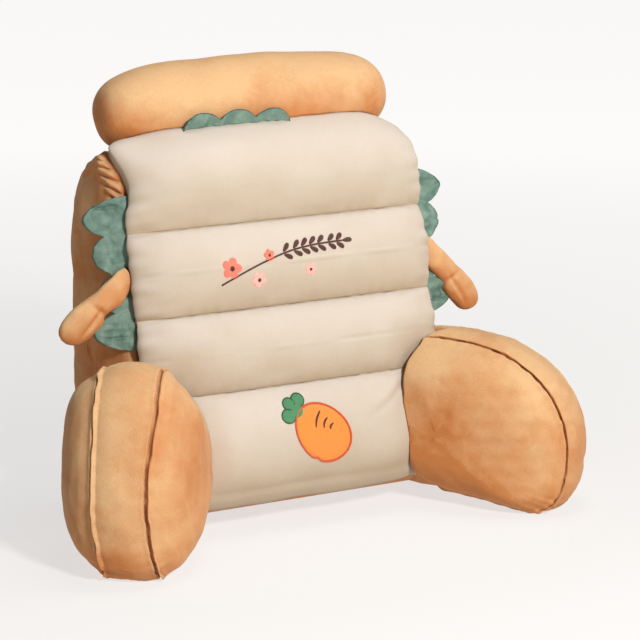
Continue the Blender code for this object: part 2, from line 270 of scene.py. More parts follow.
def doubled(grid, closed=True):
    """A grid of points or numbers with a new row and column midway between all of its own, on smooth curves."""

    def between(rows, wraps):
        if wraps:
            before, after, last = np.roll(rows, 1, axis=0), np.roll(rows, -1, axis=0), np.roll(rows, -2, axis=0)
            middle = (9 * (rows + after) - before - last) / 16
            return np.stack([rows, middle], axis=1).reshape(-1, *rows.shape[1:])
        ends = np.concatenate([[2 * rows[0] - rows[1]], rows, [2 * rows[-1] - rows[-2]]])
        middle = (9 * (ends[1:-2] + ends[2:-1]) - ends[:-3] - ends[3:]) / 16
        woven = np.empty((2 * len(rows) - 1, *rows.shape[1:]))
        woven[::2], woven[1::2] = rows, middle
        return woven

    grid = between(np.asarray(grid, float), False)
    return np.moveaxis(between(np.moveaxis(grid, 1, 0), closed), 0, 1)


# ---- meshes -----------------------------------------------------------------------------------
def loft(name, rings, start_tip=None, end_tip=None):
    """A closed mesh through rings of equal length: an end closes as a fan to its tip, or as one face."""
    rings = np.asarray(rings, float)
    count, around = rings.shape[:2]
    points = list(rings.reshape(-1, 3))
    faces = []
    for row in range(count - 1):
        for i in range(around):
            j = (i + 1) % around
            low, high = row * around, (row + 1) * around
            faces.append((low + i, low + j, high + j, high + i))
    for first, tip, order in ((0, start_tip, -1), ((count - 1) * around, end_tip, 1)):
        if tip is None:
            faces.append(tuple(range(first, first + around))[::order])
            continue
        points.append(np.asarray(tip, float))
        for i in range(around):
            faces.append((first + i, first + (i + 1) % around, len(points) - 1)[::order])
    return mesh_object(name, points, faces)


def mesh_object(name, points, faces):
    data = bpy.data.meshes.new(name)
    data.from_pydata([tuple(p) for p in points], [], faces)
    mesh = bmesh.new()
    mesh.from_mesh(data)
    bmesh.ops.recalc_face_normals(mesh, faces=mesh.faces)
    mesh.to_mesh(data)
    mesh.free()
    data.shade_smooth()
    made = bpy.data.objects.new(name, data)
    bpy.context.scene.collection.objects.link(made)
    return made


def get_points(piece):
    flat = np.empty(len(piece.data.vertices) * 3)
    piece.data.vertices.foreach_get("co", flat)
    return flat.reshape(-1, 3)


def set_points(piece, points):
    piece.data.vertices.foreach_set("co", np.asarray(points, float).ravel())
    piece.data.update()


def set_values(piece, name, values):
    """Keeps one number for each of a piece's points, for its material to read."""
    kept = piece.data.attributes.new(name, "FLOAT", "POINT")
    padded = np.zeros(len(piece.data.vertices), np.float32)
    padded[: values.size] = np.asarray(values, float).ravel()
    kept.data.foreach_set("value", padded)


def merged(piece, distance=0.0002):
    """Welds points that pressing has brought together."""
    mesh = bmesh.new()
    mesh.from_mesh(piece.data)
    bmesh.ops.remove_doubles(mesh, verts=mesh.verts, dist=distance)
    bmesh.ops.dissolve_degenerate(mesh, edges=mesh.edges, dist=1e-5)
    bmesh.ops.recalc_face_normals(mesh, faces=mesh.faces)
    mesh.to_mesh(piece.data)
    mesh.free()
    return piece


def tree_of(piece):
    mesh = bmesh.new()
    mesh.from_mesh(piece.data)
    tree = BVHTree.FromBMesh(mesh)
    mesh.free()
    return tree


def pressed(points, trees, way, clear=CLEAR, reach=0.6):
    """Points that lie inside any of the closed shapes, slid the given way until they are clear of them all."""
    way = Vector(way).normalized()
    moved = np.array(points, float)
    for index, point in enumerate(moved):
        here = Vector(point)
        for _ in range(4):
            exits = []
            for tree in trees:
                place, normal, _, distance = tree.ray_cast(here, way, reach)
                if place is not None and normal.dot(way) > 0:
                    exits.append(distance)
            if not exits:
                break
            here = here + way * (max(exits) + clear)
        moved[index] = here
    return moved


def press(piece, trees, way):
    """Slides a piece's points clear of the shapes that it rests against, and welds those that meet."""
    set_points(piece, pressed(get_points(piece), trees, way))
    merged(piece)


def tube(name, line, radius, sides=6, closed=False):
    """A round thread along a line of points."""
    line = np.asarray(line, float)
    ahead = np.roll(line, -1, axis=0) - np.roll(line, 1, axis=0) if closed else np.gradient(line, axis=0)
    ahead /= np.linalg.norm(ahead, axis=1, keepdims=True)
    side = np.cross(ahead, (0.31, 0.17, 0.93))
    side /= np.linalg.norm(side, axis=1, keepdims=True)
    other = np.cross(ahead, side)
    turns = np.linspace(0, 2 * math.pi, sides, endpoint=False)
    rings = [
        point + radius * (np.outer(np.cos(turns), a) + np.outer(np.sin(turns), b))
        for point, a, b in zip(line, side, other)
    ]
    return loft(name, rings)


# ---- swelling ---------------------------------------------------------------------------------
def swelling(shape):
    """A copy of a stuffed piece with the cloth that swells it between the points that its seams hold."""
    piece = shape.made("swelling")
    group = piece.vertex_groups.new(name="pinned")
    full = np.ones(len(piece.data.vertices))
    pinned = np.clip(shape.pins(), 0, 1).ravel()
    full[: pinned.size] = pinned
    for index, weight in enumerate(full):
        group.add([index], float(weight), "REPLACE")
    cloth = piece.modifiers.new("swell", "CLOTH")
    settings = cloth.settings
    settings.quality = 5
    settings.mass = 0.3
    settings.tension_stiffness = 15
    settings.compression_stiffness = 15
    settings.shear_stiffness = 6
    settings.bending_stiffness = 0.6
    settings.shrink_min = -shape.growth
    settings.use_pressure = True
    settings.uniform_pressure_force = shape.pressure
    settings.effector_weights.gravity = 0
    settings.vertex_group_mass = group.name
    cloth.collision_settings.use_collision = False
    return piece


def evened(piece, move, loose, passes=8):
    """Moves averaged over each point's neighbours, where it is loose, which takes out the cloth's fine creases."""
    ends = np.empty(len(piece.data.edges) * 2, int)
    piece.data.edges.foreach_get("vertices", ends)
    first, second = ends.reshape(-1, 2).T
    count = np.bincount(ends, minlength=len(move))[:, None]
    for _ in range(passes):
        total = np.zeros_like(move)
        np.add.at(total, first, move[second])
        np.add.at(total, second, move[first])
        move = move + 0.6 * loose[:, None] * (total / count - move)
    return move


def run_cloth(pairs):
    """Runs every piece's cloth at once, and keeps each point's move, held under its piece's cap."""
    for number in range(1, SWELL_FRAMES + 1):
        bpy.context.scene.frame_set(number)
    graph = bpy.context.evaluated_depsgraph_get()
    for shape, piece in pairs:
        start = get_points(piece)
        flat = np.empty(start.size)
        piece.evaluated_get(graph).data.vertices.foreach_get("co", flat)
        move = flat.reshape(-1, 3) - start
        length = np.linalg.norm(move, axis=1, keepdims=True)
        held = shape.cap * np.tanh(length / shape.cap)
        loose = np.ones(len(start))
        pinned = np.clip(shape.pins(), 0, 1).ravel()
        loose[: pinned.size] -= pinned
        shape.take(start + evened(piece, move * held / np.maximum(length, 1e-9), loose))
    bpy.context.scene.frame_set(1)
    for _, piece in pairs:
        bpy.data.objects.remove(piece)


class Stuffed:
    """A stuffed piece as a grid of rings, with numbers kept for each of its points."""

    tips = (None, None)
    kept = ()
    pressure = 3.0
    growth = 0.010
    cap = 0.005  # how far swelling may move a point

    def made(self, name):
        return loft(name, self.rings, *self.tips)

    def take(self, points):
        """Reads the rings back from a mesh that was made from them."""
        self.rings = points[: self.rings[..., 0].size].reshape(self.rings.shape)

    def refine(self):
        """Twice as many points both ways, on smooth curves through the old ones."""
        self.rings = doubled(self.rings)
        for name in self.kept:
            setattr(self, name, doubled(getattr(self, name)))


# ---- wedge ------------------------------------------------------------------------------------
def half_width(z):
    """Half the wedge's width at a height: straight sides with rounded shoulders."""
    rise = np.clip((z - (WEDGE_HEIGHT - SHOULDER_RADIUS)) / SHOULDER_RADIUS, 0, 0.98)
    return HALF_WIDTH - SHOULDER_RADIUS * (1 - np.sqrt(1 - rise**2))


def wedge_outline(spacing):
    return rounded_outline(WEDGE_CORNERS[::-1], spacing)


def near_gathers(outline):
    """How much closer the wedge's outline has its points where the gathers are."""
    y, z = outline.T
    return 1 + 2.6 * np.exp(-(((y + 0.008) / 0.045) ** 2) - ((z - 0.452) / 0.050) ** 2)


class Body(Stuffed):
    """The wedge's rings, from the left tip to the right one, and how far each point is from a seam."""

    kept = ("from_seam", "along_seam")
    pressure = 2.5
    cap = 0.006

    def __init__(self):
        outline = resampled(wedge_outline(0.002), CELL * 1.6, near_gathers)
        line = smooth_line([(s * 0.13, c * GUSSET_CROWN) for s, c in GUSSET_SECTION])
        fine = np.arange(0.0014, 0.0215, 0.0014)  # for the gathers
        coarse = np.arange(0.0250, distances(line)[-1], CELL * 1.3)
        side = [np.interp(np.r_[fine, coarse, distances(line)[-1]], distances(line), column) for column in line.T]
        gusset = [(s / 0.13, c / GUSSET_CROWN) for s, c in zip(*side)]
        flat = np.linspace(-1, 1, round(2 * HALF_WIDTH / (CELL * 1.5)))
        near = 1 - np.array(SEAM_STEPS) / HALF_WIDTH
        flat = np.unique(np.r_[flat[np.abs(flat) < near[-1] - 0.01], near, -near, 1, -1])
        near_gusset = [(1 - step / 0.13, step * 0.55 / GUSSET_CROWN * 2.4) for step in SEAM_STEPS[:2]]
        gusset = near_gusset + [g for g in gusset if g[0] < 1 - 1.4 * SEAM_STEPS[1] / 0.13]
        stations = [(-1, share, crown) for share, crown in gusset[::-1]]
        stations += [(x, 1.0, 0.0) for x in flat]
        stations += [(1, share, crown) for share, crown in gusset]
        rings = []
        from_seam = []
        for x_share, share, crown in stations:
            y, z = (WEDGE_MIDDLE + (outline - WEDGE_MIDDLE) * share).T
            x = x_share * half_width(z) + np.sign(x_share) * crown * GUSSET_CROWN
            on_back = np.clip((outline[:, 0] - (BACK_Y - 0.004)) / 0.004, 0, 1)
            rise = on_back * np.sin(np.pi * np.clip(outline[:, 1] / WEDGE_HEIGHT, 0, 1))
            y = y + BACK_CROWN * rise * (1 - 0.75 * x_share**2) * share
            rings.append(np.stack([x, y, z], axis=1))
            away = (1 - share) * 0.13 + (1 - abs(x_share)) * HALF_WIDTH
            from_seam.append(np.full(len(outline), away if share < 1 else -away))
        self.rings = np.array(rings)
        self.from_seam = np.array(from_seam)  # negative between the seams, positive on a gusset
        self.along_seam = distances(outline)[None, :].repeat(len(rings), axis=0)
        self.tips = [(side * (HALF_WIDTH + GUSSET_CROWN), *WEDGE_MIDDLE) for side in (-1, 1)]

    def pins(self):
        x, y, z = np.moveaxis(self.rings, 2, 0)
        seam = bump(self.from_seam / 0.007)
        base = 1 - ramp(z, 0.004, 0.020)
        under_pad = (self.from_seam <= 0) * (1 - ramp(y, PAD_END_Y - 0.02, PAD_END_Y + 0.01)) * (z > 0.02)
        gathered = 1.3 * bump(np.hypot(y - 0.005, z - 0.460) / 0.080)
        return np.maximum.reduce([seam, base, under_pad, gathered])


# Gathers where the gusset is drawn in at the pad's upper corner: y, z of both ends, width, height.
GATHERS = (
    ((0.000, 0.4885), (0.044, 0.4900), 0.0056, 0.0062),
    ((-0.008, 0.4775), (0.030, 0.4850), 0.0060, 0.0074),
    ((-0.016, 0.4630), (0.032, 0.4790), 0.0068, 0.0080),
    ((-0.022, 0.4480), (0.026, 0.4680), 0.0058, 0.0074),
    ((-0.025, 0.4370), (0.012, 0.4510), 0.0050, 0.0050),
    ((0.066, 0.4600), (0.026, 0.4800), 0.0075, 0.0045),
)


def gathers_height(y, z):
    """How far the gusset stands out in its gathers, at places in its plane, and how deep in a crease they are."""
    height = np.zeros_like(y)
    creased = np.zeros_like(y)
    drawn = np.zeros_like(y)
    for start, end, width, rise in GATHERS:
        start, end = np.array(start), np.array(end)
        way = end - start
        length = np.linalg.norm(way)
        way = way / length
        along = ((y - start[0]) * way[0] + (z - start[1]) * way[1]) / length
        across = (y - start[0]) * -way[1] + (z - start[1]) * way[0]
        across = across + 0.0010 * np.sin(along * 5 + start[1] * 90)
        fade = ramp(along, -0.20, -0.05) * (1 - ramp(along, 0.30, 1.05))
        spread = width * (0.86 + 0.36 * along)
        height = np.maximum(height, rise * fade * bump(across / spread) ** 0.7)
        creased = creased + fade * bump(across / (1.7 * spread))
        drawn = np.maximum(drawn, 0.5 * rise * fade * bump(across / (2.4 * spread)))
    return height - drawn, np.clip(1.7 * creased - 0.6, 0, 1) * (1 - ramp(height, 0.0010, 0.0050))


def corner_shift(rings):
    """How far the wedge and pad stand out and up at their upper left corner, and fall in at the right one."""
    x, y, z = np.moveaxis(rings, -1, 0)
    near = np.exp(-(((y - 0.014) / 0.040) ** 2) - ((z - 0.486) / 0.030) ** 2) * ramp(np.abs(x), 0.150, 0.215)
    near = near * np.where(x < 0, 1.0, -0.35)
    return near[..., None] * np.stack([np.sign(x) * 0.017, 0 * x - 0.002, 0 * x + 0.014], axis=-1)


def toe_lift(rings):
    """How much higher the stuffing holds the front's foot than the flat solid's."""
    y, z = rings[..., 1], rings[..., 2]
    return 0.009 * ramp(-y, 0.050, 0.105) * (1 - ramp(z, 0.03, 0.11))


def drawn_in(z):
    """How far the gathers draw the wedge's side and the pad's rim in at a height."""
    return 0.006 * bump((z - 0.450) / 0.050)


def finish_body(body, rings):
    """Draws the seams in, puckers the cloth beside them, and raises the gathers."""
    normals = ring_normals(rings)
    seam = body.from_seam
    x, y, z = np.moveaxis(rings, 2, 0)
    lift = -0.0022 * bump(seam / 0.0030)
    beside = np.exp(-np.abs(seam) / 0.016) * (1 - bump(seam / 0.003))
    lift += 0.0011 * beside * ripple(np.stack([body.along_seam, np.zeros_like(seam)], axis=-1), 0.022, 4)
    lift += 0.0012 * ripple(rings, 0.11, 5) * ramp(np.abs(seam), 0.01, 0.04) * ramp(z, 0.01, 0.06)
    rings = rings + normals * lift[..., None]
    at_front = 1 - ramp(y, 0.030, 0.070)
    rings[..., 0] -= np.sign(x) * drawn_in(z) * at_front * np.exp(-((seam / 0.020) ** 2))
    rings += corner_shift(rings)
    height, creased = gathers_height(rings[..., 1], rings[..., 2])
    out = height * ramp(seam, 0.0, 0.0030) * np.where(x < 0, 1.0, 0.35)
    rings += out[..., None] * np.stack([0.80 * np.sign(x), 0 * x - 0.45, 0 * x + 0.10], axis=-1)
    # How deep each point lies in a gathers' crease, kept so that the plush can paint shade there.
    body.creased = creased * ramp(seam, -0.001, 0.001)
    rings[..., 2] = np.maximum(rings[..., 2] + toe_lift(rings), 0.0004)
    return rings


# ---- channelled front pad ---------------------------------------------------------------------
def pad_path():
    """Points and outward normals of the wedge's front and top that the pad covers, from its foot up."""
    outline = wedge_outline(0.0015)
    normals = outline_normals(outline)
    foot = np.argmin(np.hypot(outline[:, 0] - FRONT_Y, outline[:, 1] - PAD_FOOT_HEIGHT))
    outline, normals = (np.roll(a, -foot, axis=0)[::-1] for a in (outline, normals))
    last = np.argmax(outline[:, 0] > PAD_END_Y)
    return outline[:last], normals[:last]


PATH, PATH_NORMALS = pad_path()
PATH_LENGTHS = distances(PATH)


def on_path(at):
    """y, z and the normal's y, z at a distance along the pad's path."""
    place = [np.interp(at, PATH_LENGTHS, PATH[:, i]) for i in (0, 1)]
    normal = [np.interp(at, PATH_LENGTHS, PATH_NORMALS[:, i]) for i in (0, 1)]
    return (*place, *normal)


def path_at_height(z):
    return PATH_LENGTHS[np.argmax(PATH[:, 1] > z)]


CHANNEL_SEAMS = [0.0] + [path_at_height(z) for z in CHANNEL_SEAM_HEIGHTS] + [PATH_LENGTHS[-1]]


def channel_at(at):
    """The channel at a distance along the path, and the share of the way through it."""
    channel = int(np.clip(np.searchsorted(CHANNEL_SEAMS, at, "right") - 1, 0, len(CHANNEL_SEAMS) - 2))
    low, high = CHANNEL_SEAMS[channel], CHANNEL_SEAMS[channel + 1]
    return channel, float(np.clip((at - low) / (high - low), 0, 1))


def pad_thickness(at):
    """The pad's thickness between its rims at a distance along the path, and how full its channel is there."""
    last = len(CHANNEL_SEAM_HEIGHTS)
    channel, share = channel_at(at)
    low = PAD_SEAM
    if channel == 0:
        low = PAD_EDGE + (PAD_SEAM - PAD_EDGE) * min(1, share * 2)
    if channel == last:
        low = PAD_EDGE + (PAD_SEAM - PAD_EDGE) * min(1, (1 - share) * 2)
    full = max(0.0, 1 - (2 * share - 1) ** 2) ** 0.58
    if 0 < channel + share - 0.5 < last:
        full = SEAM_FILL + (1 - SEAM_FILL) * full
    return low + (PAD_CREST - low) * full, full


def pad_rim(z, full):
    """Half the pad's width where it is sewn to the wedge: its seams stand out, its channels are drawn in."""
    return half_width(z) + 0.003 - 0.005 * channel_fill(full) - drawn_in(z)


def channel_fill(full):
    return np.clip((full - SEAM_FILL) / (1 - SEAM_FILL), 0, 1)


class Pad(Stuffed):
    """The front pad's rings, from its foot up and over the top: each runs over the front and back behind."""

    kept = ("from_seam", "u", "is_back", "along")
    growth = 0.003

    def __init__(self):
        inner = CHANNEL_SEAMS[1:-1]
        rows = [at for at in np.arange(0, CHANNEL_SEAMS[-1], CELL)]
        steps = np.array(SEAM_STEPS)
        rows = [at for at in rows if all(abs(at - seam) > steps[-1] + CELL * 0.4 for seam in inner)]
        rows += [seam + sign * step for seam in inner for step in steps for sign in (-1, 1)]
        rows = sorted(rows + list(inner) + [0.0008, 0.0024, CHANNEL_SEAMS[-1]])
        turns = np.linspace(-1, 1, round(0.46 / CELL)) * 1.22
        self.front_u = np.sin(turns) / math.sin(1.22)
        back_u = np.linspace(1, -1, 26)
        edge = (1 - np.abs(self.front_u) ** PAD_SQUARENESS) ** 0.6
        rings = []
        from_seam = []
        for at in rows:
            y, z, normal_y, normal_z = on_path(at)
            crest, full = pad_thickness(at)
            thick = PAD_EDGE + (crest - PAD_EDGE) * edge
            narrow = 0.005 * ramp(normal_z, 0.88, 1.0) + 0.024 * ramp(at, PATH_LENGTHS[-1] - 0.045, PATH_LENGTHS[-1] - 0.012)
            reach = pad_rim(z, full) - narrow
            fill = 0.012 * channel_fill(full)
            over_left = 0.004 + fill * (1 - 0.85 * bump((z - 0.455) / 0.060))
            over_right = 0.004 + fill + drawn_in(z)
            flank = np.sin(np.pi * edge**0.75) * np.where(self.front_u < 0, over_left, over_right)
            across = self.front_u * reach + np.sign(self.front_u) * flank
            # The armrests press the lowest channel flat at its sides.
            thick = thick * (1 - 0.40 * ramp(np.abs(across), 0.115, 0.185) * (1 - ramp(z, 0.180, 0.250)))
            front = np.stack([across, y + normal_y * thick, z + normal_z * thick], axis=1)
            off = 0.0008
            back_x = back_u * reach * 0.998
            back = np.stack([back_x, np.full(26, y + normal_y * off), np.full(26, z + normal_z * off)], axis=1)
            rings.append(np.vstack([front, back]))
            away = min((at - seam for seam in inner), key=abs)
            from_seam.append(np.full(len(front) + 26, away))
        self.rings = np.array(rings)
        self.from_seam = np.array(from_seam)
        self.along = np.array(rows)[:, None].repeat(len(front) + 26, axis=1)
        self.u = np.r_[self.front_u, back_u][None, :].repeat(len(rows), axis=0)
        self.is_back = np.r_[np.zeros(len(front)), np.ones(26)][None, :].repeat(len(rows), axis=0)

    def pins(self):
        seam = bump(self.from_seam / 0.006)
        rim = ramp(np.abs(self.u), 0.955, 0.985)
        ends = np.maximum(bump(self.along / 0.012), bump((self.along - CHANNEL_SEAMS[-1]) / 0.05))
        return np.maximum.reduce([seam, rim, ends, self.is_back])


def finish_pad(pad, rings):
    """Puckers the cloth beside the channel seams and at their ends, and adds the few soft folds."""
    normals = ring_normals(rings)
    front = pad.is_back < 0.5
    away = np.abs(pad.from_seam)
    x = rings[..., 0]
    rim = ramp(np.abs(pad.u), 0.80, 0.97) * (1 - ramp(np.abs(pad.u), 0.985, 1.0))
    across = np.stack([x, pad.from_seam * 0.25], axis=-1)
    lift = 0.0007 * np.exp(-away / 0.010) * (1 - bump(away / 0.002)) * ripple(across, 0.024, 11)
    lift += 0.0013 * rim * ripple(np.stack([pad.along, x * 0.3], axis=-1), 0.021, 12)
    lift += 0.0011 * ripple(rings, 0.10, 13) * (1 - bump(away / 0.02))
    # One slack fold runs down inwards from the third seam's right end.
    fold_start, fold_end = np.array((0.175, 0.176)), np.array((0.075, 0.128))
    way = (fold_end - fold_start) / np.linalg.norm(fold_end - fold_start)
    offset = np.stack([x, rings[..., 2]], axis=-1) - fold_start
    along = offset @ way / np.linalg.norm(fold_end - fold_start)
    side = offset @ np.array((-way[1], way[0]))
    fade = ramp(along, -0.1, 0.15) * (1 - ramp(along, 0.5, 1.1))
    lift += fade * (0.0013 * np.exp(-(((side + 0.007) / 0.008) ** 2)) - 0.0014 * np.exp(-((side / 0.006) ** 2)))
    rings = rings + normals * (lift * front)[..., None]
    rings[..., 2] += toe_lift(rings)
    return rings + corner_shift(rings)


def grooves_filled(pad):
    """The pad with the grooves of its channel seams filled out, for the armrests to lie against."""
    rows = pad.along[:, 0]
    path = np.array([on_path(at) for at in rows])
    base, way = path[:, None, :2], path[:, None, 2:]
    thick = ((pad.rings[..., 1:] - base) * way).sum(axis=2)
    side = np.abs(pad.rings[..., 0])
    apart = np.abs(rows[:, None] - rows[None, :])
    level = np.array([(thick[near].max(axis=0), side[near].max(axis=0)) for near in apart < 0.030])
    weight = np.exp(-((apart / 0.010) ** 2))
    level = np.einsum("ij,jkl->ikl", weight / weight.sum(axis=1, keepdims=True), level)
    near_seam = 1 - ramp(np.abs(pad.from_seam), 0.028, 0.046)
    thick += (level[:, 0] - thick) * near_seam
    side += (level[:, 1] - side) * near_seam
    return np.concatenate([(np.sign(pad.rings[..., 0]) * side)[..., None], base + way * thick[..., None]], axis=2)


# ---- armrests ---------------------------------------------------------------------------------
def arm_to_world(along, across, z, side):
    """Armrest coordinates to the pillow's: along it from its pivot, and across it outwards."""
    across = across - ARM_TUCK * np.clip(1 - z / ARM_MIDDLE[1], 0, 1) ** 1.5
    x = ARM_ROOT[0] + along * math.sin(ARM_SPLAY) + across * math.cos(ARM_SPLAY)
    y = ARM_ROOT[1] - along * math.cos(ARM_SPLAY) + across * math.sin(ARM_SPLAY)
    return np.stack([side * x, y, z], axis=-1)


def arm_way(side):
    """The level direction out along an armrest."""
    return (side * math.sin(ARM_SPLAY), -math.cos(ARM_SPLAY), 0.0)


class Arm(Stuffed):
    """An armrest's rings, from its inner tip across the band to its outer tip."""

    kept = ("from_seam", "half", "along_seam", "ahead")
    growth = 0.004

    def __init__(self, side):
        self.side = side
        outline = rounded_outline(ARM_CORNERS, CELL)
        normals = outline_normals(outline)
        # across, outset, share of the outline, distance beyond the band's seam
        band = np.linspace(0, 1, 60)
        middle, rim = BAND_OUTSET
        half = [(b * HALF_BAND, rim + (middle - rim) * (1 - b**2) ** 0.8, 1.0) for b in band]
        cheek = smooth_line([(HALF_BAND, rim, 1.0), (CHEEK_ROOT + 0.001, rim * 0.8, 0.995)] + [
            (CHEEK_ROOT + crown * CHEEK_CROWN, 0.0, share) for share, crown in CHEEK_SECTION
        ])
        line = np.array(half[:-1] + list(cheek))
        flat = np.stack([line[:, 0], line[:, 1] + 0.115 * (line[:, 2] - 1)], axis=1)
        lengths = distances(flat)
        seam = lengths[len(half) - 1]
        even = np.arange(0, lengths[-1], CELL * 1.04)
        steps = np.array(SEAM_STEPS)
        even = [at for at in even if abs(at - seam) > steps[-1] + CELL * 0.4] + [lengths[-1]]
        at = np.array(sorted(even + list(seam + steps) + list(seam - steps) + [seam]))
        columns = [np.interp(at, lengths, line[:, k]) for k in range(3)]
        half = list(zip(*columns, at - seam))
        stations = [(-a, o, s, d, -1) for a, o, s, d in half[:0:-1]] + [(a, o, s, d, 1) for a, o, s, d in half]
        rings = []
        for across, outset, share, _, _ in stations:
            along, z = (ARM_MIDDLE + (outline - ARM_MIDDLE) * share + normals * outset).T
            rings.append(arm_to_world(along, across, np.maximum(z, 0.0), side))
        self.rings = np.array(rings)
        count = len(outline)
        self.from_seam = np.array([[d] * count for *_, d, _ in stations])  # negative on the band
        self.half = np.array([[h] * count for *_, h in stations])  # -1 inner, 1 outer
        self.along_seam = distances(outline)[None, :].repeat(len(stations), axis=0)
        self.ahead = outline[:, 0][None, :].repeat(len(stations), axis=0)  # along the armrest from its pivot
        reach = CHEEK_ROOT + CHEEK_CROWN
        self.tips = [arm_to_world(ARM_MIDDLE[0], a, ARM_MIDDLE[1], side) for a in (-reach, reach)]

    def toward_lip(self):
        """Distance from a band seam towards its lip: the left arm's cheek and the right arm's band lift inside."""
        lip_on_cheek = (self.half < 0) == (self.side < 0)
        return np.where(lip_on_cheek, self.from_seam, -self.from_seam)

    def seam_shown(self):
        """1 where a band seam is in the open, and 0 where it runs inside the wedge."""
        if self.side < 0:
            return ramp(self.ahead, 0.045, 0.085)
        return np.where(self.half < 0, ramp(self.ahead, 0.0, 0.020), ramp(self.ahead, 0.0, 0.030))

    def pins(self):
        seam = bump(self.from_seam / 0.008)
        base = 1 - ramp(self.rings[..., 2], 0.002, 0.016)
        rear = 1 - ramp(self.ahead, -0.06, -0.01)
        return np.maximum.reduce([seam, base, rear])


def finish_arm(arm, rings, seed):
    """Opens each band seam into a raised, wavy lip with a dark gap beside it."""
    normals = ring_normals(rings)
    along = arm.along_seam
    line = np.stack([along, arm.half * 0.4], axis=-1)
    waver = 0.0006 * ripple(line, 0.022, seed) + 0.0003 * ripple(line, 0.009, seed + 1)
    toward_lip = arm.toward_lip() - waver
    height = LIP_HEIGHT * (1 + 0.16 * ripple(line, 0.030, seed + 2))
    shown = arm.seam_shown()
    height *= shown * np.where((arm.half > 0) & (arm.side > 0), 0.5, 1.0)
    lip = bump((toward_lip - LIP_WIDTH * 0.62) / LIP_WIDTH)
    gap = bump((toward_lip + 0.0012) / 0.0024)
    other = bump((toward_lip + 0.0050) / 0.0040)
    lift = height * lip - GAP_DEPTH * shown * gap + 0.0010 * other
    beside = np.exp(-np.abs(arm.from_seam) / 0.014) * (1 - bump(arm.from_seam / 0.004))
    lift += 0.0007 * beside * ripple(line * (1, 0.2), 0.018, seed + 3)
    x_way = np.array((arm.side * math.cos(ARM_SPLAY), math.sin(ARM_SPLAY), 0.0))
    lean = 0.0016 * lip * height / LIP_HEIGHT
    rough = 0.0012 * ripple(rings, 0.085, seed + 4) + 0.0005 * ripple(rings, 0.030, seed + 5)
    toe = bump((arm.ahead - 0.190) / 0.050) * (1 - ramp(rings[..., 2], 0.006, 0.050))
    lift += 0.0020 * toe * np.exp(-np.abs(arm.from_seam) / 0.020) * ripple(line, 0.011, seed + 6)
    lift += rough * ramp(np.abs(arm.from_seam), 0.008, 0.03)
    lift *= ramp(arm.ahead, -0.010, 0.030)
    rings = rings + normals * lift[..., None] + x_way * np.where(arm.half < 0, -lean, lean)[..., None]
    high = ramp(rings[..., 2], 0.09, 0.20)
    if arm.side < 0:
        corner = bump((arm.ahead - 0.125) / 0.100)
        rings[..., 2] += high * (0.032 * corner - 0.006 * (1 - ramp(arm.ahead, 0.0, 0.08)))
        rings[..., :2] += np.array(arm_way(-1))[:2] * (0.010 * high * corner)[..., None]
        dome = bump((arm.ahead - 0.050) / 0.100) * bump(arm.half * (HALF_BAND + arm.from_seam) / 0.075)
        rings[..., 2] += high * (0.014 * dome + 0.004 * corner)
    else:
        rings[..., 2] += 0.006 * high * bump((arm.ahead - 0.055) / 0.090)
    across = arm.half * (HALF_BAND + arm.from_seam)
    if arm.side < 0:
        wide = bump((across + HALF_BAND) / 0.045) * ramp(rings[..., 2], 0.13, 0.23)
        rings -= x_way * (0.009 * wide)[..., None]
    # Behind the pad's front it narrows, so that only what is in front of the pad shows.
    behind = rings[..., 1] - FRONT_Y - (rings[..., 2] - TOE_LIFT) * FRONT_SLOPE
    inside = ramp(behind, -0.038, -0.004) * (1 - ramp(across, -0.004, 0.022))
    rings[..., 2] -= 0.024 * inside * ramp(rings[..., 2], 0.04, 0.18)
    rings += x_way * (0.018 * inside)[..., None]
    # Its top sinks towards the rear, which lies inside the wedge.
    start = 0.060 if arm.side < 0 else 0.010
    sunk = 0.030 * ramp(start - arm.ahead, 0.0, start + 0.110)
    rings[..., 2] -= sunk * ramp(rings[..., 2], 0.06, 0.20)
    # The stuffing holds the inner foot up near the wedge.
    inner = (arm.half < 0) * ramp(arm.from_seam, -0.030, 0.0)
    foot = (1 - ramp(arm.ahead, 0.05, 0.20)) * (1 - ramp(rings[..., 2], 0.0, 0.11))
    rings[..., 2] = np.maximum(rings[..., 2] + (0.007 + 0.010 * inner) * foot, 0.0004)
    return rings


# ---- head roll --------------------------------------------------------------------------------
class Roll(Stuffed):
    """The head roll's rings, from its left end to its right one."""

    cap = 0.004

    def __init__(self):
        turns = np.linspace(0, 2 * math.pi, 76, endpoint=False)
        dense = np.sin(np.linspace(-1, 1, 1201) * math.pi / 2)[1:-1]
        radius = (1 - np.abs(dense) ** ROLL_SQUARENESS) ** (1 / ROLL_SQUARENESS)
        line = at_spacing(np.stack([dense * ROLL_HALF_LENGTH, radius * ROLL_RADII[1]], axis=1), CELL)[1:-1]
        rings = []
        for x, radius in line:
            share = radius / ROLL_RADII[1]
            y = ROLL_CENTRE[0] + share * ROLL_RADII[0] * np.cos(turns)
            z = ROLL_CENTRE[1] + share * ROLL_RADII[1] * np.sin(turns)
            rings.append(np.stack([np.full_like(turns, x), y, z], axis=1))
        self.rings = np.array(rings)
        self.tips = [(side * ROLL_HALF_LENGTH, *ROLL_CENTRE) for side in (-1, 1)]

    def pins(self):
        return 1 - ramp(self.rings[..., 2], 0.500, 0.530)


def finish_roll(rings):
    normals = ring_normals(rings)
    lift = 0.0016 * ripple(rings, 0.12, 31) + 0.0006 * ripple(rings, 0.045, 32)
    return rings + normals * lift[..., None]


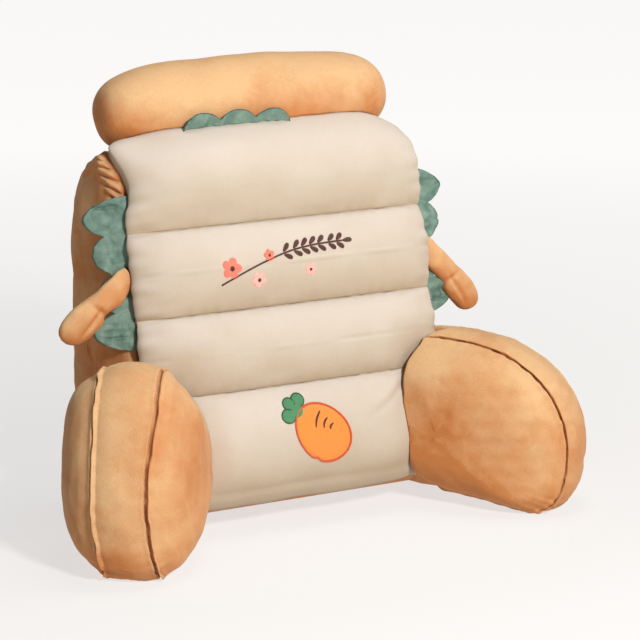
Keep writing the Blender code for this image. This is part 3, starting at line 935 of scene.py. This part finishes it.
# ---- leaf strips ------------------------------------------------------------------------------
def scallop(share, lengths):
    """How long a strip of round scallops is at a share of its span, where each crest has its own length."""
    count = len(lengths)
    position = share * count
    index = min(int(position), count - 1)
    from_crest = position - 0.5 - index
    outer = position < 0.5 or position > count - 0.5
    round_share = math.sqrt(max(0.0, 1 - (from_crest / (0.5 if outer else LEAF_OVERLAP)) ** 2))
    beside = min(max(index + (1 if from_crest > 0 else -1), 0), count - 1)
    level = lengths[index] + (lengths[beside] - lengths[index]) * 0.5 * abs(2 * from_crest) ** 3
    return max(0.06, round_share * level)


def leaf_shares(count):
    """Shares of a strip's span, closer together at its ends."""
    t = np.linspace(0, 1, count)
    return t - 0.75 * np.sin(2 * math.pi * t) / (2 * math.pi)


def leaf_relief(share, out, scallops, seed):
    """How far a leaf strip stands off its plane: cupped scallops, creases from the seam and fine crinkles."""
    position = share * scallops
    scallop_index = np.minimum(position.astype(int), scallops - 1)
    across = 2 * (position - scallop_index) - 1
    random = np.random.default_rng(seed)
    relief = 0.0042 * (1 - across**2) * out
    for index in range(scallops):
        for place, depth in zip(random.uniform(-0.6, 0.6, 3), random.uniform(0.0040, 0.0080, 3)):
            lean = random.uniform(-0.35, 0.35)
            width = random.uniform(0.08, 0.17)
            line = (across - place - lean * out) / width
            relief -= (scallop_index == index) * depth * np.exp(-(line**2)) * np.sin(math.pi * out**0.8) * (
                1 - across**2
            )
    fine = np.stack([share * scallops * 0.045, out * 0.035], axis=-1)
    relief += 0.0009 * ripple(fine, 0.011, seed + 1) + 0.0020 * ripple(fine, 0.028, seed + 2) * out
    return relief


def leaf_strip_side(side, seed):
    """Middle surface of a side strip as a grid: rows up the seam, columns from the seam out."""
    low, high = (path_at_height(z) for z in LEAF_SIDE_HEIGHTS)
    shares = leaf_shares(96)
    outs = np.linspace(0, 1, 20)
    flat_area = 0.0
    rows = []
    for share in shares:
        at = low + (high - low) * share
        y, z, normal_y, normal_z = on_path(at)
        _, full = pad_thickness(at)
        tip = LEAF_SIDE_LENGTH * scallop(share, LEAF_SCALLOPS_SIDE)
        out = outs * tip
        relief = leaf_relief(np.full(20, share), outs * tip / LEAF_SIDE_LENGTH, len(LEAF_SCALLOPS_SIDE), seed)
        root = pad_rim(z, full) + 0.0006
        past_edge = np.maximum(root + out - HALF_WIDTH - 0.001, 0)
        offset = 0.0036 - past_edge * math.tan(LEAF_SIDE_LEAN[side]) + relief * ramp(outs, 0.1, 0.4)
        x = side * (root + out)
        rows.append(np.stack([x, y + normal_y * offset, z + normal_z * offset], axis=1))
    span = high - low
    tips = np.array([LEAF_SIDE_LENGTH * scallop(s, LEAF_SCALLOPS_SIDE) for s in shares])
    slant = 1 / math.cos(LEAF_SIDE_LEAN[side])
    flat_area = float(np.sum((tips[1:] + tips[:-1]) / 2 * np.diff(shares)) * span) * slant
    return np.array(rows), (span, LEAF_SIDE_LENGTH * slant), flat_area


def leaf_strip_top(seed):
    span = LEAF_TOP_SPAN[1] - LEAF_TOP_SPAN[0]
    start = math.radians(196)  # where the strip leaves the pad, round the roll from +Y towards +Z
    shares = leaf_shares(84)
    outs = np.linspace(0, 1, 16)
    rows = []
    for share in shares:
        length = LEAF_TOP_LENGTH * scallop(share, LEAF_SCALLOPS_TOP)
        turns = start - (outs * length) / ROLL_RADII[1]
        relief = leaf_relief(np.full(16, share), outs * length / LEAF_TOP_LENGTH, len(LEAF_SCALLOPS_TOP), seed)
        off = 0.0050 + np.maximum(relief * 0.5, -0.002) + 0.004 * outs
        y = ROLL_CENTRE[0] + (ROLL_RADII[0] + off) * np.cos(turns)
        z = ROLL_CENTRE[1] + (ROLL_RADII[1] + off) * np.sin(turns)
        rows.append(np.stack([np.full(16, LEAF_TOP_SPAN[0] + span * share), y, z], axis=1))
    tips = np.array([LEAF_TOP_LENGTH * scallop(s, LEAF_SCALLOPS_TOP) for s in shares])
    flat_area = float(np.sum((tips[1:] + tips[:-1]) / 2 * np.diff(shares)) * span)
    return np.array(rows), (span, LEAF_TOP_LENGTH), flat_area


def leaf_object(name, grid):
    """A closed sheet with a rounded rim, LEAF_THICKNESS thick, on the grid of its middle surface."""
    along = np.gradient(grid, axis=0)
    across = np.gradient(grid, axis=1)
    normals = np.cross(along, across)
    normals /= np.maximum(np.linalg.norm(normals, axis=2, keepdims=True), 1e-9)
    columns = grid.shape[1]
    thin = np.ones(grid.shape[:2])
    thin[:, 0] = 0.5
    thin[:, -1] = 0.45
    thin[:, -2] = 0.9
    half = (LEAF_THICKNESS / 2 * thin)[..., None] * normals
    rings = [np.vstack([low, high[::-1]]) for low, high in zip(grid - half, grid + half)]
    piece = loft(name, rings)
    out = np.linspace(0, 1, columns)
    rim = np.tile(np.r_[out, out[::-1]], (len(grid), 1))
    set_values(piece, "out", rim)
    return piece


# ---- hands ------------------------------------------------------------------------------------
def hand_frame(side, suffix):
    at = path_at_height(HAND_ROOT_HEIGHT)
    y, z, normal_y, normal_z = on_path(at)
    root = np.array((HALF_WIDTH - HAND_INSET, y + normal_y * HAND_LIFT, z + normal_z * HAND_LIFT))
    seam = np.array((half_width(z) + 0.004, y + normal_y * 0.0065, z + normal_z * 0.0065))
    reach = np.array(HAND_REACH[suffix])
    ahead = reach / np.linalg.norm(reach)
    facing = np.array((0.0, normal_y, normal_z))
    thick = facing - ahead * (facing @ ahead)
    thick /= np.linalg.norm(thick)
    return root, seam, reach, np.cross(thick, ahead), thick


def hand_rings(side, suffix, seed):
    root, seam, reach, high, thick = hand_frame(side, suffix)
    length = np.linalg.norm(reach)
    sections = smooth_line(HAND_SECTIONS)
    sections[:, 0] *= length
    sections = at_spacing(sections, 0.0028, columns=[0, 1])
    turns = np.linspace(0, 2 * math.pi, 44, endpoint=False)
    rings = []
    for at, above, below, half_thick in sections:
        share = at / length
        up = np.cos(turns)
        front = np.sin(turns)
        squared = np.sign(front) * np.abs(front) ** 0.85
        height = np.where(up > 0, up * above, up * below)
        depth = squared * half_thick
        # The thumb's crease runs into the palm, and a shallow fold crosses the wrist.
        bend = -0.0060 - 0.030 * (share - 0.62)
        crease = math.exp(-(((share - 0.66) / 0.14) ** 2)) * np.exp(-(((height - bend) / 0.0026) ** 2))
        fold = np.exp(-(((share - 0.535 - height * 2.2) / 0.020) ** 2)) * np.exp(-(((height + 0.002) / 0.015) ** 2))
        depth = depth - (front > 0) * (0.0052 * crease + 0.0026 * fold)
        centre = root + reach * share + (seam - root) * (1 - ramp(share, 0.0, 0.34))
        ring = centre + np.outer(height, high) + np.outer(depth, thick)
        rings.append(ring * (side, 1, 1))
    rings = np.array(rings)
    normals = ring_normals(rings)
    rings += normals * (0.0006 * ripple(rings, 0.022, seed))[..., None]
    return rings, (root + reach) * (side, 1, 1)


# ---- embroidery -------------------------------------------------------------------------------
def on_pad(tree, places, lift):
    """Points on the pad's front, at (x, z) places seen from the front, raised by lift along its normal."""
    raised = []
    for (x, z), rise in zip(places, np.broadcast_to(lift, len(places))):
        place, normal, _, _ = tree.ray_cast(Vector((x, -0.6, z)), Vector((0, 1, 0)))
        if normal.y > 0:
            normal = -normal
        raised.append(np.array(place) + np.array(normal) * rise)
    return np.array(raised)


def satin_line(name, tree, line, width, rise, closed=False):
    """A raised row of satin stitches along a line of (x, z) places. width is one number or one a place."""
    line = np.asarray(line, float)
    widths = np.broadcast_to(width, len(line))
    ahead = np.roll(line, -1, axis=0) - np.roll(line, 1, axis=0) if closed else np.gradient(line, axis=0)
    ahead /= np.linalg.norm(ahead, axis=1, keepdims=True)
    side = np.stack([-ahead[:, 1], ahead[:, 0]], axis=1)
    shares = np.array((-1.0, -0.85, -0.5, 0.0, 0.5, 0.85, 1.0))
    lifts = rise * (1 - shares**2) ** 0.5 - 0.0002
    rings = []
    for point, across, half in zip(line, side, widths / 2):
        top = on_pad(tree, point + np.outer(shares * half, across), lifts)
        under = on_pad(tree, point + np.outer(shares[::-2] * half * 0.8, across), -0.0012)
        rings.append(np.vstack([top, under]))
    if closed:
        rings.append(rings[0])
    piece = loft(name, rings)
    thread = distances(line)
    if closed:
        thread = np.r_[thread, thread[-1]]
    set_values(piece, "thread", np.repeat(thread, rings[0].shape[0]))
    return piece


def satin_fill(name, tree, outline, rise, centre=None, slant=0.5):
    """A raised patch of stitches within a closed outline of (x, z) places."""
    outline = np.asarray(outline, float)
    centre = outline.mean(axis=0) if centre is None else np.asarray(centre, float)
    rings = []
    threads = []
    way = np.array((math.cos(slant), math.sin(slant)))
    for share in np.linspace(1, 0.04, 14):
        places = centre + (outline - centre) * share
        lift = rise * (1 - share**6) ** 0.5 if share < 1 else -0.0006
        rings.append(on_pad(tree, places, lift))
        threads.append(places @ way)
    floor = on_pad(tree, outline, -0.0014)
    tip = on_pad(tree, [centre], rise)[0]
    piece = loft(name, [floor] + rings, end_tip=tip)
    set_values(piece, "thread", np.concatenate([outline @ way] + threads))
    return piece


def joined(name, pieces):
    """One object made of several that are all of one finish."""
    with bpy.context.temp_override(
        active_object=pieces[0], object=pieces[0], selected_objects=pieces, selected_editable_objects=pieces
    ):
        bpy.ops.object.join()
    pieces[0].name = name
    return pieces[0]


# ---- materials --------------------------------------------------------------------------------
def new_material(name):
    made = bpy.data.materials.new(name)
    made.use_nodes = True
    return made, made.node_tree.nodes, made.node_tree.links


def noise(nodes, links, coordinates, scale, detail, distortion=0.0):
    node = nodes.new("ShaderNodeTexNoise")
    node.inputs["Scale"].default_value = scale
    node.inputs["Detail"].default_value = detail
    node.inputs["Distortion"].default_value = distortion
    links.new(coordinates, node.inputs["Vector"])
    return node.outputs["Fac"]


def ranged(nodes, links, value, low, high, new_low, new_high):
    node = nodes.new("ShaderNodeMapRange")
    for key, number in zip(("From Min", "From Max", "To Min", "To Max"), (low, high, new_low, new_high)):
        node.inputs[key].default_value = number
    links.new(value, node.inputs["Value"])
    return node.outputs["Result"]


def blended(nodes, links, factor, first, second, mode="MIX"):
    node = nodes.new("ShaderNodeMix")
    node.data_type = "RGBA"
    node.blend_type = mode
    for socket, value in ((node.inputs[0], factor), (node.inputs[6], first), (node.inputs[7], second)):
        if isinstance(value, (tuple, float, int)):
            socket.default_value = (*value, 1.0) if isinstance(value, tuple) else value
        else:
            links.new(value, socket)
    return node.outputs[2]


def summed(nodes, links, first, second, scale):
    node = nodes.new("ShaderNodeMath")
    node.operation = "MULTIPLY_ADD"
    node.inputs[1].default_value = scale
    links.new(second, node.inputs[0])
    links.new(first, node.inputs[2])
    return node.outputs[0]


def plush(name, lit_tone, dark, seam, sheen, sheen_tint, pile=1.0, mottle=1.0, grain=1.0):
    """Short-pile plush with painted shade: darker and deeper in tone where it faces down or sideways, and in the seams
    and creases that its kept seam numbers mark; patches where the nap turns, and a fine pile.
    """
    made, nodes, links = new_material(name)
    shader = nodes["Principled BSDF"]
    place = nodes.new("ShaderNodeTexCoord").outputs["Object"]
    patches = noise(nodes, links, place, 7.0, 2.0, 0.6)
    mottles = noise(nodes, links, place, 46.0, 4.0, 0.9)
    tips = noise(nodes, links, place, 520.0, 3.0)
    fibres = noise(nodes, links, place, 1400.0, 2.0)
    # Painted shade: the tone turns from the lit colour to the shaded one where the surface faces down, and further
    # where it faces sideways.
    slope = nodes.new("ShaderNodeSeparateXYZ")
    links.new(nodes.new("ShaderNodeTexCoord").outputs["Normal"], slope.inputs[0])
    factor = ranged(nodes, links, slope.outputs["Z"], -0.50, 0.68, 1.0, 0.0)
    sideways = nodes.new("ShaderNodeMath")
    sideways.operation = "ABSOLUTE"
    links.new(slope.outputs["X"], sideways.inputs[0])
    factor = summed(nodes, links, factor, ranged(nodes, links, sideways.outputs[0], 0.75, 1.0, 0.0, 1.0), 0.4 * mottle)
    factor = summed(nodes, links, factor, ranged(nodes, links, patches, 0.36, 0.66, -0.5, 0.5), 0.60 * mottle)
    factor = summed(nodes, links, factor, ranged(nodes, links, mottles, 0.3, 0.7, -0.5, 0.5), 0.25 * mottle)
    colour = blended(nodes, links, factor, lit_tone, dark)
    shade = ranged(nodes, links, tips, 0.25, 0.75, 1 - 0.08 * grain, 1 + 0.06 * grain)
    combine = nodes.new("ShaderNodeCombineColor")
    for socket in combine.inputs:
        links.new(shade, socket)
    colour = blended(nodes, links, 1.0, colour, combine.outputs[0], "MULTIPLY")
    # Painted shade in seams and creases: the kept seam numbers blend in the seam shade colour.
    kept = nodes.new("ShaderNodeAttribute")
    kept.attribute_name = "seam"
    colour = blended(nodes, links, kept.outputs["Fac"], colour, seam)
    links.new(colour, shader.inputs["Base Color"])
    rough = ranged(nodes, links, tips, 0.2, 0.8, 0.80, 0.98)
    links.new(rough, shader.inputs["Roughness"])
    shader.inputs["Specular IOR Level"].default_value = 0.15
    shader.inputs["Sheen Weight"].default_value = sheen
    shader.inputs["Sheen Roughness"].default_value = 0.42
    shader.inputs["Sheen Tint"].default_value = (*sheen_tint, 1.0)
    height = summed(nodes, links, fibres, tips, 1.6)
    height = summed(nodes, links, height, mottles, 2.2)
    relief = nodes.new("ShaderNodeBump")
    relief.inputs["Strength"].default_value = 0.55 * pile
    relief.inputs["Distance"].default_value = 0.0005
    links.new(height, relief.inputs["Height"])
    links.new(relief.outputs[0], shader.inputs["Normal"])
    return made


def leaf_velvet():
    """Green velvet: crushed patches, a paler bloom towards the light and a darker rim."""
    made, nodes, links = new_material("leaf_velvet")
    shader = nodes["Principled BSDF"]
    place = nodes.new("ShaderNodeTexCoord").outputs["Object"]
    crush = noise(nodes, links, place, 34.0, 5.0, 1.6)
    tips = noise(nodes, links, place, 900.0, 2.0)
    factor = ranged(nodes, links, crush, 0.34, 0.66, 0.0, 1.0)
    colour = blended(nodes, links, factor, (0.080, 0.150, 0.118), (0.180, 0.275, 0.225))
    kept = nodes.new("ShaderNodeAttribute")
    kept.attribute_name = "out"
    edge = ranged(nodes, links, kept.outputs["Fac"], 0.93, 0.985, 0.0, 1.0)
    colour = blended(nodes, links, edge, colour, (0.030, 0.062, 0.050))
    links.new(colour, shader.inputs["Base Color"])
    shader.inputs["Roughness"].default_value = 0.62
    shader.inputs["Specular IOR Level"].default_value = 0.35
    shader.inputs["Sheen Weight"].default_value = 0.55
    shader.inputs["Sheen Roughness"].default_value = 0.35
    shader.inputs["Sheen Tint"].default_value = (0.62, 0.85, 0.76, 1.0)
    height = summed(nodes, links, tips, crush, 6.0)
    relief = nodes.new("ShaderNodeBump")
    relief.inputs["Strength"].default_value = 0.7
    relief.inputs["Distance"].default_value = 0.0006
    links.new(height, relief.inputs["Height"])
    links.new(relief.outputs[0], shader.inputs["Normal"])
    return made


def stitched(name, colour, dark, pitch=0.00055):
    """Embroidery thread: fine glossy ridges that follow the piece's own thread coordinate."""
    made, nodes, links = new_material(name)
    shader = nodes["Principled BSDF"]
    kept = nodes.new("ShaderNodeAttribute")
    kept.attribute_name = "thread"
    turn = nodes.new("ShaderNodeMath")
    turn.operation = "MULTIPLY"
    turn.inputs[1].default_value = 2 * math.pi / pitch
    links.new(kept.outputs["Fac"], turn.inputs[0])
    wave = nodes.new("ShaderNodeMath")
    wave.operation = "SINE"
    links.new(turn.outputs[0], wave.inputs[0])
    place = nodes.new("ShaderNodeTexCoord").outputs["Object"]
    grain = noise(nodes, links, place, 260.0, 3.0)
    factor = ranged(nodes, links, wave.outputs[0], -1.0, 1.0, 0.0, 0.55)
    factor = summed(nodes, links, factor, ranged(nodes, links, grain, 0.3, 0.7, -0.25, 0.25), 1.0)
    links.new(blended(nodes, links, factor, colour, dark), shader.inputs["Base Color"])
    shader.inputs["Roughness"].default_value = 0.42
    shader.inputs["Specular IOR Level"].default_value = 0.45
    shader.inputs["Sheen Weight"].default_value = 0.2
    relief = nodes.new("ShaderNodeBump")
    relief.inputs["Strength"].default_value = 0.6
    relief.inputs["Distance"].default_value = 0.0002
    links.new(wave.outputs[0], relief.inputs["Height"])
    links.new(relief.outputs[0], shader.inputs["Normal"])
    return made


# ---- making the object ------------------------------------------------------------------------
def dress(piece, finish):
    piece.data.materials.clear()
    piece.data.materials.append(finish)
    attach(piece, "root")
    return piece


def make_cushions():
    """The wedge, pad, roll and armrests, swollen together and then shaped one by one."""
    body, pad, roll = Body(), Pad(), Roll()
    arms = {"left": Arm(-1), "right": Arm(1)}
    shapes = [body, pad, roll, *arms.values()]
    run_cloth([(shape, swelling(shape)) for shape in shapes])
    for shape in shapes:
        shape.refine()

    body.rings = finish_body(body, body.rings)
    pad.rings = finish_pad(pad, pad.rings)
    roll.rings = finish_roll(roll.rings)
    made = {name: shape.made(name) for name, shape in (("back_body", body), ("front_pad", pad), ("head_roll", roll))}
    # Painted shade along the wedge's and pad's seams and in the gathers' creases, kept as seam numbers for the plush.
    set_values(made["back_body"], "seam", np.maximum(bump(body.from_seam / 0.0032) * 0.8, 0.45 * body.creased))
    set_values(made["front_pad"], "seam", bump(pad.from_seam / 0.0014) * 0.10 * (pad.is_back < 0.5))
    body_tree, pad_tree = tree_of(made["back_body"]), tree_of(made["front_pad"])
    press(made["head_roll"], [body_tree, pad_tree], (0, 0, 1))

    full_pad = loft("full_pad", grooves_filled(pad))
    trees = [body_tree, pad_tree, tree_of(full_pad)]
    bpy.data.objects.remove(full_pad)
    for seed, (suffix, arm) in enumerate(arms.items()):
        arm.rings = finish_arm(arm, arm.rings, 50 + 10 * seed)
        piece = made["armrest_" + suffix] = arm.made("armrest_" + suffix)
        # Painted shade in the gap beside each band seam's lip: a wavy dark strip, fainter high up on the left arm.
        line = np.stack([arm.along_seam, arm.half * 0.4], axis=-1)
        width = 0.0013 * (0.85 + 0.35 * ripple(line, 0.035, 60 + seed))
        dark = bump((arm.toward_lip() + 0.0006) / width) * (0.75 + 0.2 * ripple(line, 0.020, 63 + seed))
        if arm.side < 0:
            high = ramp(arm.rings[..., 2], 0.115, 0.190)
            dark = dark * (1 - np.where(arm.half < 0, 0.85, 0.5) * high)
        set_values(piece, "seam", np.clip(dark, 0, 1) * arm.seam_shown())
        press(piece, trees, arm_way(arm.side))
    return made


def make_leaves(pad_tree, body_tree):
    made = {}
    facts = {
        "left": leaf_strip_side(-1, 71),
        "right": leaf_strip_side(1, 75),
        "top": leaf_strip_top(79),
    }
    for suffix, (grid, flat, area) in facts.items():
        way = {"left": (-1, 0, 0), "right": (1, 0, 0), "top": (0, -0.5, 0.9)}[suffix]
        shape = grid.shape
        grid = pressed(grid.reshape(-1, 3), [pad_tree], way, clear=0.0008, reach=0.05)
        if suffix != "top":
            grid = pressed(grid, [body_tree], way, clear=0.0020, reach=0.05)
        grid = grid.reshape(shape)
        piece = leaf_object("leaf_strip_" + suffix + "_velvet", grid)
        made[suffix] = (piece, flat, area)
    return made


def carrot_outline(count=96):
    """An egg that leans to the right, a little flat at its foot."""
    turns = np.linspace(0, 2 * math.pi, count, endpoint=False)
    lean = math.radians(-39)
    long_way, wide = 0.0440, 0.0345
    a = long_way * np.cos(turns) * (1 + 0.04 * np.cos(turns))
    b = wide * np.sin(turns) * (1 + 0.08 * np.cos(turns))
    x = a * math.cos(lean) - b * math.sin(lean)
    z = a * math.sin(lean) + b * math.cos(lean)
    notch = 0.0024 * np.exp(-(((turns - 5.04) / 0.09) ** 2))
    x, z = x - notch * np.cos(turns + lean), z - notch * np.sin(turns + lean)
    return np.stack([x, z], axis=1) + (0.0108, 0.1245)


def flower_outline(centre, radius, petals=5, turn=0.0, count=100):
    turns = np.linspace(0, 2 * math.pi, count, endpoint=False)
    reach = radius * (0.66 + 0.34 * np.abs(np.cos(petals * (turns + turn) / 2)) ** 0.8)
    return np.stack([centre[0] + reach * np.cos(turns), centre[1] + reach * np.sin(turns)], axis=1)


def drop_outline(base, way, length, width, count=28):
    """A pointed grain or leaf that grows from base."""
    t = np.linspace(0, math.pi, count // 2)
    along = (1 - np.cos(t)) / 2 * length
    half = width / 2 * np.sin(t) ** 0.9 * (1 - 0.25 * np.cos(t))
    way = np.array(way) / np.linalg.norm(way)
    side = np.array((-way[1], way[0]))
    upper = np.outer(along, way) + np.outer(half, side)
    lower = np.outer(along, way) - np.outer(half, side)
    return np.array(base) + np.vstack([upper[:-1], lower[::-1][:-1]])


def make_embroidery(tree):
    """A carrot below, and a sprig of grain and small flowers above, all raised satin stitch."""
    brown = stitched("thread_brown", (0.085, 0.020, 0.012), (0.040, 0.010, 0.006))
    orange = stitched("thread_orange", (0.90, 0.275, 0.040), (0.84, 0.215, 0.026))
    rust = stitched("thread_rust", (0.66, 0.090, 0.018), (0.48, 0.05, 0.010))
    green = stitched("thread_green", (0.070, 0.270, 0.120), (0.035, 0.160, 0.065))
    deep_green = stitched("thread_deep_green", (0.012, 0.085, 0.035), (0.008, 0.060, 0.022))
    coral = stitched("thread_coral", (0.86, 0.22, 0.15), (0.74, 0.15, 0.10))
    pink = stitched("thread_pink", (0.90, 0.47, 0.40), (0.80, 0.36, 0.30))
    made = []

    def add(piece, finish):
        piece.data.shade_smooth()
        made.append(dress(piece, finish))

    outline = carrot_outline()
    add(satin_fill("carrot_body", tree, outline, 0.0012, slant=0.9), orange)
    add(satin_line("carrot_rim", tree, outline, 0.0031, 0.0017, closed=True), rust)
    lobes = []
    rims = []
    places = ((-0.0170, 0.1675, 0.0086), (-0.0310, 0.1640, 0.0080), (-0.0352, 0.1500, 0.0092), (-0.0222, 0.1550, 0.0095))
    for index, (x, z, radius) in enumerate(places):
        turns = np.linspace(0, 2 * math.pi, 40, endpoint=False)
        lobe = np.array((x, z)) + radius * np.stack([np.cos(turns) * 1.06, np.sin(turns) * 0.92], axis=1)
        lobes.append(satin_fill("carrot_top_%d" % index, tree, lobe, 0.0010 + 0.0001 * index, slant=2.3))
        if index < 3:
            rims.append(satin_line("carrot_top_rim_%d" % index, tree, lobe, 0.0022, 0.0013, closed=True))
    add(joined("carrot_top", lobes), green)
    add(joined("carrot_top_rim", rims), deep_green)
    dashes = []
    for index, (start, end) in enumerate((
        ((0.0118, 0.1510), (0.0018, 0.1315)),
        ((0.0208, 0.1420), (0.0138, 0.1295)),
        ((0.0283, 0.1340), (0.0233, 0.1270)),
    )):
        start, end = np.array(start), np.array(end)
        t = np.linspace(0, 1, 16)[:, None]
        bow = np.sin(math.pi * t) * np.array((-0.0022, 0.0004))
        width = 0.0042 * (0.35 + 0.65 * np.sin(math.pi * (0.12 + 0.76 * t[:, 0])))
        dashes.append(satin_line("carrot_dash_%d" % index, tree, start + (end - start) * t + bow, width, 0.0022))
    add(joined("carrot_dashes", dashes), brown)

    # The sprig: a stem that rises to the right, grains in pairs at its head, flowers at its foot.
    t = np.linspace(0, 1, 60)
    stem = np.stack([-0.112 + 0.185 * t, 0.326 + 0.040 * t + 0.012 * np.sin(t * math.pi)], axis=1)
    add(satin_line("sprig_stem", tree, stem, 0.0026, 0.0016), brown)
    grains = []
    for index, share in enumerate(np.linspace(0.52, 0.96, 7)):
        at = int(share * 59)
        way = stem[min(at + 1, 59)] - stem[at - 1]
        angle = math.atan2(way[1], way[0])
        for sign in (-1, 1):
            lean = angle + sign * 0.62
            base = stem[at] + 0.0016 * np.array((-math.sin(angle), math.cos(angle))) * sign
            outline = drop_outline(base, (math.cos(lean), math.sin(lean)), 0.0165 - 0.004 * share, 0.0064)
            grains.append(satin_fill("grain_%d_%d" % (index, sign), tree, outline, 0.0013, slant=lean + 1.57))
    way = stem[-1] - stem[-2]
    outline = drop_outline(stem[-1], way, 0.0150, 0.0062)
    grains.append(satin_fill("grain_end", tree, outline, 0.0013, slant=2.0))
    add(joined("sprig_grains", grains), brown)
    flowers = (
        # centre, radius, finish
        ((-0.096, 0.346), 0.0150, coral),
        ((-0.058, 0.328), 0.0115, pink),
        ((-0.040, 0.358), 0.0085, coral),
        ((0.020, 0.334), 0.0090, pink),
    )
    for index, (centre, radius, finish) in enumerate(flowers):
        outline = flower_outline(centre, radius, turn=index * 0.4)
        add(satin_fill("flower_%d" % index, tree, outline, 0.0013, centre=centre, slant=index), finish)
        turns = np.linspace(0, 2 * math.pi, 24, endpoint=False)
        eye = np.array(centre) + radius * 0.24 * np.stack([np.cos(turns), np.sin(turns)], axis=1)
        add(satin_fill("flower_eye_%d" % index, tree, eye, 0.0022), brown)
    return made


# ---- stage ------------------------------------------------------------------------------------
CAMERA_AZIMUTH = math.radians(-30)
CAMERA_ELEVATION = math.radians(12.8)
CAMERA_DISTANCE = 3.9
CAMERA_TARGET = Vector((0.091, 0.0, 0.238))
CAMERA_LENS = 160.875
IMAGE_SENSOR = 36.0


def make_stage():
    """A plain white floor that glows a little more far out, a key lamp at the upper left and weak fills."""
    floor = mesh_object("floor", [(-9, -9, -0.0006), (9, -9, -0.0006), (9, 9, -0.0006), (-9, 9, -0.0006)], [(0, 1, 2, 3)])
    finish, nodes, links = new_material("floor_paper")
    shader = nodes["Principled BSDF"]
    shader.inputs["Base Color"].default_value = (0.22, 0.218, 0.216, 1.0)
    shader.inputs["Roughness"].default_value = 0.9
    shader.inputs["Specular IOR Level"].default_value = 0.1
    shader.inputs["Emission Color"].default_value = (1.0, 0.99, 0.98, 1.0)
    place = nodes.new("ShaderNodeTexCoord").outputs["Object"]
    length = nodes.new("ShaderNodeVectorMath")
    length.operation = "LENGTH"
    links.new(place, length.inputs[0])
    glow = ranged(nodes, links, length.outputs["Value"], 0.5, 3.0, 0.68, 0.92)
    links.new(glow, shader.inputs["Emission Strength"])
    floor.data.materials.append(finish)
    world = bpy.data.worlds.new("studio")
    bpy.context.scene.world = world
    world.use_nodes = True
    backdrop = world.node_tree.nodes["Background"]
    backdrop.inputs["Color"].default_value = (1.0, 0.90, 0.80, 1.0)
    backdrop.inputs["Strength"].default_value = 0.09
    lamp("key", (-0.10, -2.86, 1.85), 0.5, 117, (1.0, 0.96, 0.91))
    lamp("side", (2.6, -1.2, 1.5), 1.2, 11, (1.0, 0.93, 0.86))
    lamp("top", (0.4, 0.0, 2.6), 1.2, 18, (1.0, 0.96, 0.92))
    bpy.context.scene.view_settings.view_transform = "Standard"


def lamp(name, place, size, power, colour):
    data = bpy.data.lights.new(name, "AREA")
    data.shape = "DISK"
    data.size = size
    data.energy = power
    data.color = colour
    made = bpy.data.objects.new(name, data)
    made.location = place
    toward = Vector((0, 0, 0.25)) - Vector(place)
    made.rotation_mode = "QUATERNION"
    made.rotation_quaternion = toward.to_track_quat("-Z", "Y")
    bpy.context.scene.collection.objects.link(made)


def make_camera():
    back = Vector((
        math.sin(CAMERA_AZIMUTH) * math.cos(CAMERA_ELEVATION),
        -math.cos(CAMERA_AZIMUTH) * math.cos(CAMERA_ELEVATION),
        math.sin(CAMERA_ELEVATION),
    ))
    data = bpy.data.cameras.new("camera")
    data.lens = CAMERA_LENS
    data.sensor_width = IMAGE_SENSOR
    made = bpy.data.objects.new("camera", data)
    made.location = CAMERA_TARGET + back * CAMERA_DISTANCE
    made.rotation_mode = "QUATERNION"
    made.rotation_quaternion = (-back).to_track_quat("-Z", "Y")
    bpy.context.scene.collection.objects.link(made)
    bpy.context.scene.camera = made


def main():
    make_camera()
    make_stage()
    # Each plush gets a lit colour, a painted-shade colour for where it faces down or sideways, and a painted-shade
    # colour for seams and creases.
    tan = plush(
        "tan_plush_pile", (0.61, 0.385, 0.200), (0.475, 0.176, 0.054), (0.20, 0.046, 0.014), 0.20, (1.0, 0.82, 0.60)
    )
    cream = plush(
        "cream_plush_pile", (0.545, 0.490, 0.432), (0.41, 0.320, 0.220), (0.42, 0.32, 0.23), 0.14, (1.0, 0.95, 0.88),
        pile=0.45, mottle=0.3, grain=0.35,
    )
    velvet = leaf_velvet()
    dark_thread = stitched("thread_leaf_rim", (0.030, 0.062, 0.050), (0.018, 0.040, 0.032))

    made = make_cushions()
    pad_tree, body_tree = tree_of(made["front_pad"]), tree_of(made["back_body"])
    for name, piece in made.items():
        is_pad = name == "front_pad"
        piece.name = name + "_plush"
        dress(piece, cream if is_pad else tan)
        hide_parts(name)

    for suffix, (piece, flat, area) in make_leaves(pad_tree, body_tree).items():
        dress(piece, velvet)
        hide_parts("leaf_strip_" + suffix)

    for side, suffix, seed in ((-1, "left", 90), (1, "right", 95)):
        rings, tip = hand_rings(side, suffix, seed)
        piece = loft("hand_" + suffix + "_plush", rings, end_tip=tip)
        way = np.array(HAND_REACH[suffix]) * (side, 1, 1)
        press(piece, [pad_tree], way)
        dress(piece, tan)
        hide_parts("hand_" + suffix)

    make_embroidery(pad_tree)


main()
